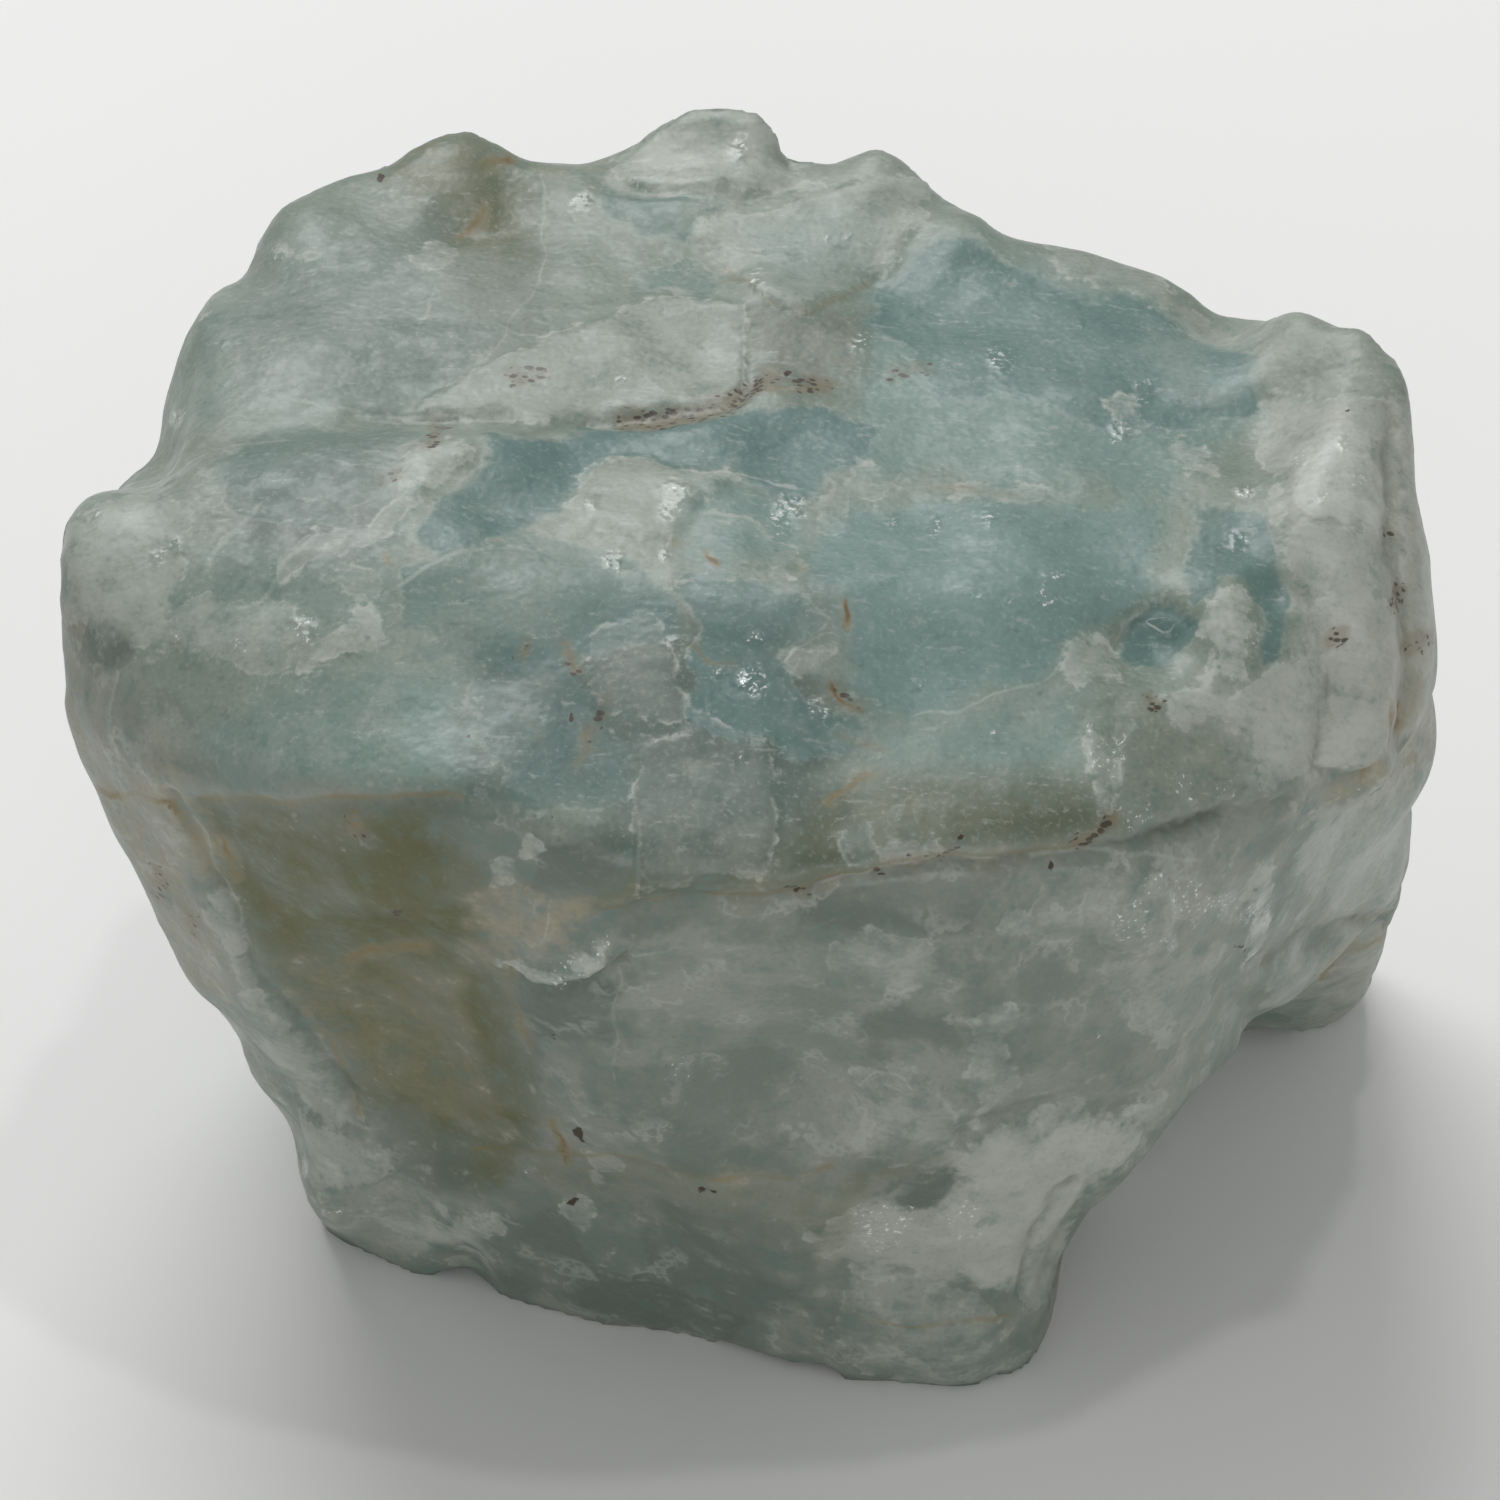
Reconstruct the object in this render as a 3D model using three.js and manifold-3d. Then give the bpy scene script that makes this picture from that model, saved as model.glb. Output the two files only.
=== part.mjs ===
// Raw aquamarine: one broken lump of cloudy beryl, resting on a flat fracture face.
// Millimetres, +Z up, front towards -Y. The origin is under the lump's middle, on the surface it rests on.
//
// The lump is roughed out as a convex block through its measured corners. Knobs, a column and a foot
// are joined on and conchoidal bites are taken out. A skin of even triangles is then laid over the
// rough form, worn a little at its edges, stepped, hollowed and roughened, and cut flat at the base.
import * as THREE from 'three';
import { ConvexGeometry } from 'three/addons/geometries/ConvexGeometry.js';
import { ImprovedNoise } from 'three/addons/math/ImprovedNoise.js';
import { mergeVertices } from 'three/addons/utils/BufferGeometryUtils.js';
import Module from 'manifold-3d';

const wasm = await Module();
wasm.setup();

// Driving dimensions, in millimetres
const HEART = new THREE.Vector3(1, 1, 27);
const SKIN_SPREAD = new THREE.Vector3(40, 30, 27);
const SKIN_DETAIL = 22;
const WEAR_PASSES = 1;
const WEAR_SHARE = 0.5;
const LEDGE_CRISPNESS = 0.9;
const LUMP = { height: 0.55, span: 11 };
const KNOB = { height: 0.3, span: 4.6 };
const FLAKE = { height: 0.7, span: 8, steps: 3, riser: 0.25 };
const FLOOR_SLAB = 120;
const BITE_DETAIL = 11;
const MERGE_DISTANCE = 1e-4;

// Corners of the main block, each [x, y, z]
const block = {
  crown: [
    [-34.3, 4.5, 48.4], [-32.5, 14, 51.5], [-29.2, 20.5, 52], [-28, 24.5, 53.3], [-24.2, 27, 54],
    [-13, 29.6, 53], [-3, 29.6, 53.2], [10.4, 27, 53], [16.6, 23, 51.2], [22.2, 20, 51.8], [25.6, 17.6, 49.8],
  ],
  shoulder: [
    [-38.6, -7, 49.8], [-38.2, -9, 42.5], [-36.6, -11.5, 35], [-31.2, -19.5, 41.8], [-22, -25, 44.9],
    [-16.5, -26.8, 46], [-5.3, -29.3, 42.6], [6.4, -28.9, 42], [13.3, -28, 42.8], [19.3, -26, 42.6],
    [25.6, -22.5, 42], [30, -18, 41.5], [-24.5, -12, 52], [-2.7, -13, 50.8], [21.9, -11, 49.2],
    [28, -8, 49.2],
  ],
  front: [
    [-33, -9.5, 25.5], [-28.3, -16.5, 28.5], [-26.2, -7, 8], [-13.2, -27.2, 38], [-10, -18.2, 10.7],
    [27.8, -18.6, 33.4], [25.9, -17.6, 27], [23.6, -16.6, 19], [18.7, -16.4, 8.8],
  ],
  side: [[38.4, -4, 39], [39, -1, 28], [38.4, 4, 17], [37.4, 22, 40], [36.5, 22, 22], [34, 13, 49.8]],
  back: [
    [-37, 10, 34], [-32.5, 22, 40], [-28, 20, 16], [-20, 31, 36], [-6, 33, 42], [8, 34, 34], [22, 29, 38],
    [30, 27, 28], [4, 29, 12], [-16, 25, 10],
  ],
  // These lie a little under the floor, where the base is cut flat
  base: [
    [-24.8, -5.6, -1.6], [-21, -8.8, -1.6], [-16, -9.4, -1.6], [-15, -10.4, -1.6], [-11, -12, -1.6],
    [-3.5, -13.8, -1.6], [3.8, -16.3, -1.6], [7, -18.8, -1.6], [13.6, -19.5, -1.6], [16.4, -18.8, -1.6],
    [17.4, -13, -1.6], [19, -4, -1.6], [26.6, 12, -1.6], [27, 20, -1.6], [16, 24, -1.6], [0, 26, -1.6],
    [-14, 22, -1.6], [-22, 14, -1.6], [-24.6, 4, -1.6],
  ],
};

// Conchoidal bites: each is a ball that takes a shallow hollow out of the block
const bites = {
  frontLeftUpper: { at: [-27, -41, 20], radius: 25.3 },
  frontLeftLower: { at: [-24, -38, 8], radius: 24.4 },
  frontMiddle: { at: [0, -66, 16], radius: 43.1 },
  rightUnderEdge: { at: [40, -20, 0], radius: 23 },
  rightUnderMiddle: { at: [42, -12, -4], radius: 24 },
  rightUnderFlank: { at: [46, -4, 0], radius: 22 },
  rightSide: { at: [63, 18, 34], radius: 26.5 },
  leftRim: { at: [-44, 8, 56.5], radius: 13.4 },
  leftSide: { at: [-58, 14, 18], radius: 28 },
  crownBench: { at: [18, 34, 66], radius: 18.8 },
  backLeft: { at: [-52, 42, 20], radius: 26.5 },
  backRight: { at: [34, 56, 30], radius: 28.5 },
  backMiddle: { at: [-12, 64, 12], radius: 38 },
};

// Lumps that stand out of the block
const lumps = {
  foot: [
    [31, 14.4, -1.6], [36.6, 14.8, -1.6], [39, 9.5, 6], [39, 6.5, 14], [38.4, 5, 17], [31.5, 9.8, 3.5],
    [30, 6, 15], [37, 23, -1.6], [38, 22, 18], [29, 25, -1.6], [28, 24, 16], [26, 14, 10],
  ],
  column: [
    [28.4, 15.2, 50.6], [30.7, 14.6, 53.1], [33.2, 12.8, 54.1], [35.4, 10.6, 54.5], [37.2, 8.4, 53.6],
    [37.7, 4, 51.3], [30, 6, 51.4], [30.2, -3, 50.8], [30.6, -9, 49.6], [31.2, -13, 46.6], [31.6, -16.8, 42],
    [32.4, -17.8, 38.2], [35.2, -15.4, 37.6], [37.2, -8, 47], [38.7, -6, 42], [39.1, -4.4, 38], [36, 6, 34],
  ],
  leftKnob: [
    [-24, 27, 54.4], [-21.8, 28.6, 54.8], [-17.4, 31, 56], [-15.2, 30.6, 55.2], [-13.2, 30, 53.8],
    [-21, 23, 54.4], [-16, 21.5, 54.2], [-12.6, 25, 54.2], [-18, 26, 46],
  ],
  plateKnob: [
    [-8.6, 30.4, 53.6], [-6.6, 31.6, 54.8], [-3.8, 32.2, 56.8], [-0.2, 32.2, 57.8], [1.8, 31, 57.4],
    [2.8, 29.6, 56], [2.8, 28, 54], [-9, 26, 54], [0, 25, 54.4], [-3, 30, 46],
  ],
  rightKnob: [
    [4.2, 29, 53.4], [6, 29.4, 54.4], [8.9, 29, 55], [11.2, 27.6, 54.4], [12, 26, 53.6], [6.4, 23, 53.6],
    [3, 24, 53], [7, 28, 46],
  ],
};

// Steps in the surface. Each route is walked with the high side on the left, seen from outside;
// drop is the step's height, and it fades to nothing over reach.
const ledges = {
  topPlate: {
    drop: 1.1, reach: 5,
    route: [
      [-0.5, 14, 52.5], [-0.5, 9, 52.5], [0, 6, 52], [-1, 4, 52], [-3, 2.5, 52], [-8.5, 1.5, 52],
      [-12, 2, 52.5], [-17.5, 0.5, 52.5], [-24, -0.5, 52.5], [-33.5, -1.5, 51],
    ],
  },
  palePlate: {
    drop: 0.9, reach: 4,
    route: [[11, 25, 53], [10, 21.5, 52.5], [8.5, 16, 52.5], [3.5, 14, 52.5], [1, 15, 52.5]],
  },
  crownPlate: {
    drop: 1, reach: 3.5,
    route: [[2.8, 26, 54], [-2, 24.5, 54], [-6, 25, 54], [-12, 28.5, 53.5]],
  },
  oliveKnob: { drop: 0.8, reach: 3.5, route: [[-12, 26, 54], [-12, 22, 53.5], [-12, 17, 53]] },
  flakePatch: {
    drop: -0.7, reach: 3,
    route: [
      [-9.5, -5.5, 51.5], [-9, -3, 52], [-6, -2, 52], [-3, -2.5, 51.5], [0, -4, 51.5], [0.5, -8.5, 51],
    ],
  },
  blueField: {
    drop: 0.8, reach: 5,
    route: [[23.5, -11, 48.5], [20.5, -14, 48], [18, -15.5, 47.5], [17.5, -19, 46]],
  },
  ridgeSeam: {
    drop: 1, reach: 4,
    route: [
      [-10, -28, 40.5], [-5.5, -29, 42], [-2.5, -29, 42.5], [2.5, -28.5, 41], [6.5, -28.5, 42],
      [11, -27.5, 43], [18.5, -25, 43], [25.5, -22, 42], [29.5, -18, 40.5],
    ],
  },
  shoulderLip: {
    drop: 1, reach: 4,
    route: [[-31, -19, 41.5], [-27, -21.5, 42.5], [-22, -24.5, 44.5], [-16.5, -26, 45.5], [-13, -26.5, 44]],
  },
  ridgeShelf: {
    drop: 1, reach: 3,
    route: [[-14, -26.5, 38.5], [-10, -27, 36], [-7, -27.5, 35], [-3, -28, 37]],
  },
  leftStrip: {
    drop: 1.1, reach: 4,
    route: [
      [-23, -11.5, 8], [-23.5, -13.5, 13.5], [-25, -15, 20], [-27, -15.5, 24], [-28, -16.5, 29],
      [-29.5, -18, 35.5], [-31, -19, 41],
    ],
  },
  leftHeel: {
    drop: 1.2, reach: 4,
    route: [[-22, -12, 5], [-20.5, -14, 11], [-23, -13.5, 15], [-26, -11.5, 15]],
  },
  frontPatch: {
    drop: 1, reach: 4,
    route: [[4.5, -23.5, 13], [5, -23.5, 18], [8.5, -24, 20.5], [14.5, -24.5, 24], [19.5, -22, 22]],
  },
  frontLobe: {
    drop: -0.8, reach: 3.5,
    route: [[13.5, -27.5, 40], [12.5, -27.5, 38.5], [15.5, -26, 35], [17, -25, 32], [19, -24, 30]],
  },
  noseSeam: { drop: 0.7, reach: 3, route: [[18, -18, 7], [15.5, -21, 6], [8.5, -22.5, 8], [4, -22.5, 9.5]] },
  backUpper: {
    drop: 1.6, reach: 6,
    route: [[28, 26, 42], [22, 29.5, 40], [10, 32.5, 38], [-4, 32.5, 44], [-14, 31, 38], [-28, 25, 40]],
  },
  backLower: {
    drop: 1.5, reach: 6,
    route: [[30, 26, 16], [18, 27.5, 22], [4, 28.5, 15], [-8, 28, 20], [-20, 22, 14]],
  },
  backSpine: { drop: 1.4, reach: 5, route: [[8, 32.5, 38], [12, 31, 24], [8, 27.5, 4]] },
  leftUpper: { drop: 1.3, reach: 5, route: [[-30, 23, 42], [-35, 14, 42], [-37.5, 4, 38]] },
  leftLower: { drop: 1.2, reach: 5, route: [[-26, 16, 16], [-29, 6, 22], [-32, -6, 20]] },
  rightUpper: { drop: 1.4, reach: 5, route: [[38.5, -2, 30], [37.5, 10, 36], [37, 20, 32], [31, 26, 38]] },
};

// Narrow valleys worn along old cracks
const grooves = {
  columnFront: {
    depth: 1.3, width: 1.5,
    route: [
      [29, -7, 49.5], [29.5, -10, 48], [30.5, -12, 46.5], [31.3, -14.5, 44.5], [31, -16.5, 42],
      [32.5, -16.5, 39.5],
    ],
  },
  columnTop: { depth: 0.7, width: 1.5, route: [[28.5, 14, 51], [29, 4.5, 50.5], [29, -7, 49.5]] },
  columnRight: {
    depth: 0.8, width: 1.3,
    route: [[36.8, 3, 52], [36.8, -6, 48], [36.8, -9.5, 44.5], [36.6, -12, 40]],
  },
  noseFold: { depth: 0.8, width: 1.4, route: [[20.5, -18.5, 15], [19, -19, 12], [17.6, -19.5, 7]] },
  backCrack: { depth: 1, width: 1.6, route: [[-20, 30.5, 44], [-15, 30, 28], [-18, 26, 12]] },
  rightCrack: { depth: 0.9, width: 1.5, route: [[37, 16, 46], [37.5, 12, 32], [38, 14, 20]] },
};

// Small shell-shaped hollows; a negative depth is a swelling
const scoops = {
  lens: { at: [25, -22, 43.5], radius: 5, depth: 1.4 },
  recess: { at: [21.5, -14, 48.3], radius: 3.4, depth: 1.2 },
  oliveHollow: { at: [-16, 21, 53.7], radius: 2.6, depth: 0.8 },
  leftTipHollow: { at: [-32.5, -8.5, 50.5], radius: 3.4, depth: 0.7 },
  shelfHollow: { at: [-12, -26.8, 42], radius: 4, depth: 0.8 },
  fingerSwell: { at: [34, -13, 42.5], radius: 5, depth: -0.9 },
  heelSwell: { at: [-23.5, -11, 6], radius: 5, depth: -0.9 },
  noseSwell: { at: [14, -22, 3], radius: 5.5, depth: -0.8 },
  backHollow: { at: [-6, 31, 27], radius: 7, depth: 1.3 },
  backSwell: { at: [18, 28, 10], radius: 7, depth: -1.2 },
  leftHollow: { at: [-36, 4, 30], radius: 5.5, depth: 1 },
  leftBackHollow: { at: [-28, 22, 30], radius: 6, depth: 1.2 },
  rightHollow: { at: [38, 17, 27], radius: 5, depth: 1.1 },
};

const vectors = (points) => points.map(([x, y, z]) => new THREE.Vector3(x, y, z));
const hull = (points) => solidOf(new ConvexGeometry(vectors(points)));

// A closed three.js geometry as a solid that can be joined and cut
function solidOf(geometry) {
  const bare = geometry.clone();
  bare.deleteAttribute('normal');
  bare.deleteAttribute('uv');
  const merged = mergeVertices(bare, MERGE_DISTANCE);
  return new wasm.Manifold(new wasm.Mesh({
    numProp: 3,
    vertProperties: new Float32Array(merged.attributes.position.array),
    triVerts: new Uint32Array(merged.index.array),
  }));
}

function geometryOf(solid) {
  const { numProp, vertProperties, triVerts } = solid.getMesh();
  const geometry = new THREE.BufferGeometry();
  const places = new Float32Array((vertProperties.length / numProp) * 3);
  for (let i = 0; i < places.length / 3; i += 1) {
    places.set(vertProperties.subarray(i * numProp, i * numProp + 3), i * 3);
  }
  geometry.setAttribute('position', new THREE.BufferAttribute(places, 3));
  geometry.setIndex([...triVerts]);
  return geometry;
}

function roughForm() {
  let form = hull(Object.values(block).flat());
  for (const { at, radius } of Object.values(bites)) {
    form = form.subtract(solidOf(new THREE.IcosahedronGeometry(radius, BITE_DETAIL).translate(...at)));
  }
  for (const corners of Object.values(lumps)) {
    form = form.add(hull(corners));
  }
  return geometryOf(form);
}

// Distance from the heart to the rough form's surface along a direction
function makeReach(geometry) {
  const place = geometry.attributes.position;
  const order = geometry.index.array;
  const corner = (i) => new THREE.Vector3().fromBufferAttribute(place, i);
  const faces = [];
  for (let i = 0; i < order.length; i += 3) {
    faces.push([corner(order[i]), corner(order[i + 1]), corner(order[i + 2])]);
  }
  const ray = new THREE.Ray(HEART.clone());
  const hit = new THREE.Vector3();
  return (direction) => {
    ray.direction.copy(direction);
    let farthest = 0;
    for (const [a, b, c] of faces) {
      if (ray.intersectTriangle(a, b, c, false, hit)) {
        farthest = Math.max(farthest, hit.distanceTo(HEART));
      }
    }
    return farthest;
  };
}

function skinOver(rough) {
  const sphere = new THREE.IcosahedronGeometry(1, SKIN_DETAIL);
  sphere.deleteAttribute('normal');
  sphere.deleteAttribute('uv');
  const skin = mergeVertices(sphere, MERGE_DISTANCE / 10);
  const reach = makeReach(rough);
  const place = skin.attributes.position;
  const direction = new THREE.Vector3();
  for (let i = 0; i < place.count; i += 1) {
    direction.fromBufferAttribute(place, i).multiply(SKIN_SPREAD).normalize();
    direction.multiplyScalar(reach(direction)).add(HEART);
    place.setXYZ(i, direction.x, direction.y, direction.z);
  }
  return skin;
}

// Round the edges off by moving each point part of the way to the middle of its neighbours
function wear(geometry, passes) {
  const place = geometry.attributes.position;
  const order = geometry.index.array;
  const neighbours = Array.from({ length: place.count }, () => new Set());
  for (let i = 0; i < order.length; i += 3) {
    for (let k = 0; k < 3; k += 1) {
      neighbours[order[i + k]].add(order[i + (k + 1) % 3]);
      neighbours[order[i + (k + 1) % 3]].add(order[i + k]);
    }
  }
  const here = new THREE.Vector3();
  const there = new THREE.Vector3();
  const mean = new THREE.Vector3();
  for (let pass = 0; pass < passes; pass += 1) {
    const moved = new Float32Array(place.array.length);
    for (let i = 0; i < place.count; i += 1) {
      here.fromBufferAttribute(place, i);
      mean.set(0, 0, 0);
      for (const n of neighbours[i]) {
        mean.add(there.fromBufferAttribute(place, n));
      }
      here.lerp(mean.divideScalar(neighbours[i].size), WEAR_SHARE).toArray(moved, i * 3);
    }
    place.array.set(moved);
  }
}

for (const line of [...Object.values(ledges), ...Object.values(grooves)]) {
  line.route = vectors(line.route);
}
for (const scoop of Object.values(scoops)) {
  scoop.at = new THREE.Vector3(...scoop.at);
}

// The place on a route nearest to a point: how far off it is, and how far to the left of the route
function nearestOn(route, point, normal) {
  const nearest = { distance: Infinity, left: 0 };
  const line = new THREE.Line3();
  const foot = new THREE.Vector3();
  const along = new THREE.Vector3();
  for (let i = 1; i < route.length; i += 1) {
    line.set(route[i - 1], route[i]);
    line.closestPointToPoint(point, true, foot);
    const offset = point.clone().sub(foot);
    if (offset.length() < nearest.distance) {
      nearest.distance = offset.length();
      nearest.left = offset.dot(line.delta(along).normalize().cross(normal).negate());
    }
  }
  return nearest;
}

const fade = (distance, reach) => Math.exp(-((distance / reach) ** 2));

function ledgeRise(point, normal) {
  let rise = 0;
  for (const { drop, reach, route } of Object.values(ledges)) {
    const { distance, left } = nearestOn(route, point, normal);
    rise += 0.5 * drop * Math.tanh(left / LEDGE_CRISPNESS) * fade(distance, reach);
  }
  return rise;
}

function grooveRise(point, normal) {
  let rise = 0;
  for (const { depth, width, route } of Object.values(grooves)) {
    rise -= depth * fade(nearestOn(route, point, normal).distance, width);
  }
  return rise;
}

function scoopRise(point) {
  let rise = 0;
  for (const { at, radius, depth } of Object.values(scoops)) {
    rise -= depth * Math.max(0, 1 - (point.distanceTo(at) / radius) ** 2);
  }
  return rise;
}

const noise = new ImprovedNoise();
const noiseAt = (point, span) => noise.noise(point.x / span, point.y / span, point.z / span);

// Flat flakes with short risers between them, as broken beryl has
function flakeRise(point) {
  const level = noiseAt(point, FLAKE.span) * FLAKE.steps;
  const tread = Math.floor(level);
  const riser = THREE.MathUtils.smoothstep(level - tread, 0.5 - FLAKE.riser, 0.5 + FLAKE.riser);
  return FLAKE.height * (tread + riser) / FLAKE.steps;
}

function roughen(geometry) {
  geometry.computeVertexNormals();
  const place = geometry.attributes.position;
  const point = new THREE.Vector3();
  const normal = new THREE.Vector3();
  for (let i = 0; i < place.count; i += 1) {
    point.fromBufferAttribute(place, i);
    normal.fromBufferAttribute(geometry.attributes.normal, i);
    const rise = ledgeRise(point, normal) + grooveRise(point, normal) + scoopRise(point) + flakeRise(point)
      + LUMP.height * noiseAt(point, LUMP.span) + KNOB.height * noiseAt(point, KNOB.span);
    point.addScaledVector(normal, rise);
    place.setXYZ(i, point.x, point.y, point.z);
  }
}

const skin = skinOver(roughForm());
wear(skin, WEAR_PASSES);
roughen(skin);

// Cut flat at the floor, and moved so that the origin is under the middle of the lump
const floorSlab = new THREE.BoxGeometry(FLOOR_SLAB, FLOOR_SLAB, FLOOR_SLAB).translate(0, 0, -FLOOR_SLAB / 2);
const stoneForm = geometryOf(solidOf(skin).subtract(solidOf(floorSlab)));
stoneForm.computeBoundingBox();
const middle = stoneForm.boundingBox.getCenter(new THREE.Vector3());
stoneForm.translate(-middle.x, -middle.y, 0);

const stone = new THREE.Mesh(
  stoneForm,
  new THREE.MeshStandardMaterial({ color: 0x9db5ad, roughness: 0.4, metalness: 0 }),
);
stone.name = 'aquamarine';

const model = new THREE.Group();
model.add(stone);
export default model;
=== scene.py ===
# Raw aquamarine: the broken, cloudy stone with its veils, flakes and stains, on a plain pale floor.
# Blender's lengths are in metres. The tables give mm, and place each mark seen in the photograph by its
# pixels, in a frame of 1500 x 1500.
import math

import bmesh
import bpy
import numpy as np
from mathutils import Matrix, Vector, noise


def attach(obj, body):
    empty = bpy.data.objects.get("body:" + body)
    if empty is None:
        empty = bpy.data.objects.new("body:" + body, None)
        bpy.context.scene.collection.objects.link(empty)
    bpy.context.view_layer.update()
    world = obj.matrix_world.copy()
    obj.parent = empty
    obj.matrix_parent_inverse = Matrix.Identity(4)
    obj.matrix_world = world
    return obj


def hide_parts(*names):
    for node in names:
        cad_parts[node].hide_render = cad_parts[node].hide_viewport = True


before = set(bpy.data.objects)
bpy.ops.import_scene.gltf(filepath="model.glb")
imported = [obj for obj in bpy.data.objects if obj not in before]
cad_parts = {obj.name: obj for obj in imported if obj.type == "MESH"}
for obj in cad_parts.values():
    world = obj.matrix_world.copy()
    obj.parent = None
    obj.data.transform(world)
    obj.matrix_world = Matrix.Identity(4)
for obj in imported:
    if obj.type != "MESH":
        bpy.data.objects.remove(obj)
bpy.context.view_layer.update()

mm = 0.001

# Camera: the photograph's viewing angle, a long lens looking down on the stone
cameraSettings = {
    "aim": (-0.36, -0.34, 29.5),  # mm, the point the middle of the picture looks at
    "distance": 400,  # mm
    "elevation": 35,  # degrees above the horizon
    "focalPixels": 6908,
    "sensor": 36,  # mm
    "frameSize": 1500,
    "clipStart": 0.01,  # m
}


def cameraAxes():
    tilt = math.radians(cameraSettings["elevation"])
    up = np.array((0, math.sin(tilt), math.cos(tilt)))
    back = np.array((0, -math.cos(tilt), math.sin(tilt)))
    return up, back


def makeCamera():
    up, back = cameraAxes()
    data = bpy.data.cameras.new("camera")
    data.sensor_width = cameraSettings["sensor"]
    data.lens = cameraSettings["focalPixels"] / cameraSettings["frameSize"] * cameraSettings["sensor"]
    data.clip_start = cameraSettings["clipStart"]
    camera = bpy.data.objects.new("camera", data)
    place = np.array(cameraSettings["aim"]) + cameraSettings["distance"] * back
    camera.location = Vector(place * mm)
    camera.rotation_euler = (math.radians(90 - cameraSettings["elevation"]), 0, 0)
    bpy.context.scene.collection.objects.link(camera)
    bpy.context.scene.camera = camera


makeCamera()
print("camera placed")

# Stone skin: an even, fine mesh laid over the solid, smoothed, then broken up again
skin = {
    "voxel": 0.485,  # mm
    "smoothPasses": 7,
    "smoothShare": 0.5,
    "mergeDistance": 1e-6,  # m
    "floorBand": 0.3,  # mm, points this close to the floor are laid flat on it
}


def makeSkin():
    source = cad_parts["aquamarine"]
    mesh = source.data.copy()
    stone = bpy.data.objects.new("aquamarine_stone", mesh)
    bpy.context.scene.collection.objects.link(stone)
    form = bmesh.new()
    form.from_mesh(mesh)
    bmesh.ops.remove_doubles(form, verts=form.verts, dist=skin["mergeDistance"])
    bmesh.ops.recalc_face_normals(form, faces=form.faces)
    form.to_mesh(mesh)
    form.free()
    remesh = stone.modifiers.new("evenSkin", "REMESH")
    remesh.mode = "VOXEL"
    remesh.voxel_size = skin["voxel"] * mm
    even = bpy.data.meshes.new_from_object(stone.evaluated_get(bpy.context.evaluated_depsgraph_get()))
    stone.modifiers.clear()
    form = bmesh.new()
    form.from_mesh(even)
    for _ in range(skin["smoothPasses"]):
        bmesh.ops.smooth_vert(
            form, verts=form.verts, factor=skin["smoothShare"], use_axis_x=True, use_axis_y=True,
            use_axis_z=True)
    form.to_mesh(even)
    form.free()
    even.materials.clear()
    even.name = "aquamarine_stone"
    stone.data = even
    return stone


stone = makeSkin()
places = np.zeros(len(stone.data.vertices) * 3)
stone.data.vertices.foreach_get("co", places)
places = places.reshape(-1, 3) / mm
print("skin laid:", len(places), "points")


def normalsOf(mesh):
    normals = np.zeros(len(mesh.vertices) * 3)
    mesh.vertices.foreach_get("normal", normals)
    return normals.reshape(-1, 3)


def photoPixels(points):
    up, back = cameraAxes()
    ray = points - np.array(cameraSettings["aim"])
    scale = cameraSettings["focalPixels"] / (cameraSettings["distance"] - ray @ back)
    middle = cameraSettings["frameSize"] / 2
    return np.stack([middle + scale * ray[:, 0], middle - scale * (ray @ up)], axis=1)


def noiseField(points, span, seed):
    spans = np.array(span if isinstance(span, tuple) else (span, span, span))
    shift = np.array((seed * 7.3, seed * 3.1, seed * 5.7))
    return np.array([noise.noise(Vector(p)) for p in points / spans + shift])


def smoothStep(value, low, high):
    t = np.clip((value - low) / (high - low), 0, 1)
    return t * t * (3 - 2 * t)


# Where each point of the stone lies in the photograph, and whether the photograph shows it
placing = {
    "pixelsPerMm": 17.3,
    "seenFrom": -0.02,  # how far a face may turn from the camera before it counts as hidden
    "seenTo": 0.16,
    "broadWander": (3.2, 7),  # span in mm and reach in pixels by which the edges of marks wander
    "fineWander": (1.2, 4),
}


def shownShare():
    # 1 where the photograph shows the stone, 0 on its hidden sides
    toCamera = np.array(cameraSettings["aim"]) + cameraSettings["distance"] * cameraAxes()[1] - places
    toCamera /= np.linalg.norm(toCamera, axis=1)[:, None]
    return smoothStep((normals * toCamera).sum(axis=1), placing["seenFrom"], placing["seenTo"])


def strayed(settings, seed):
    span, reach = settings
    return np.stack([noiseField(places, span, seed), noiseField(places, span, seed + 1)], axis=1) * reach


normals = normalsOf(stone.data)
seen = shownShare()
pixels = photoPixels(places) + (strayed(placing["broadWander"], 1) + strayed(placing["fineWander"], 3))


def lineOffset(route):
    # Distance from a line in mm, positive on one side of it and negative on the other
    nearest = np.full(len(pixels), np.inf)
    side = np.ones(len(pixels))
    for start, end in zip(route, route[1:]):
        start, along = np.array(start, float), np.array(end, float) - np.array(start, float)
        offset = pixels - start
        share = np.clip(offset @ along / (along @ along), 0, 1)
        away = np.linalg.norm(offset - share[:, None] * along, axis=1)
        turn = along[0] * offset[:, 1] - along[1] * offset[:, 0]
        side = np.where(away < nearest, np.where(turn < 0, -1, 1), side)
        nearest = np.minimum(nearest, away)
    return side * nearest / placing["pixelsPerMm"]


def lineDistance(route):
    return np.abs(lineOffset(route))


def pastEnds(route):
    # How far each point lies beyond the first or the last point of a line, in mm
    start, second = np.array(route[0], float), np.array(route[1], float)
    end, before = np.array(route[-1], float), np.array(route[-2], float)
    ahead = (pixels - start) @ (start - second) / np.linalg.norm(start - second)
    behind = (pixels - end) @ (end - before) / np.linalg.norm(end - before)
    near = np.linalg.norm(pixels - start, axis=1) < np.linalg.norm(pixels - end, axis=1)
    return np.maximum(np.where(near, ahead, behind), 0) / placing["pixelsPerMm"]


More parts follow.
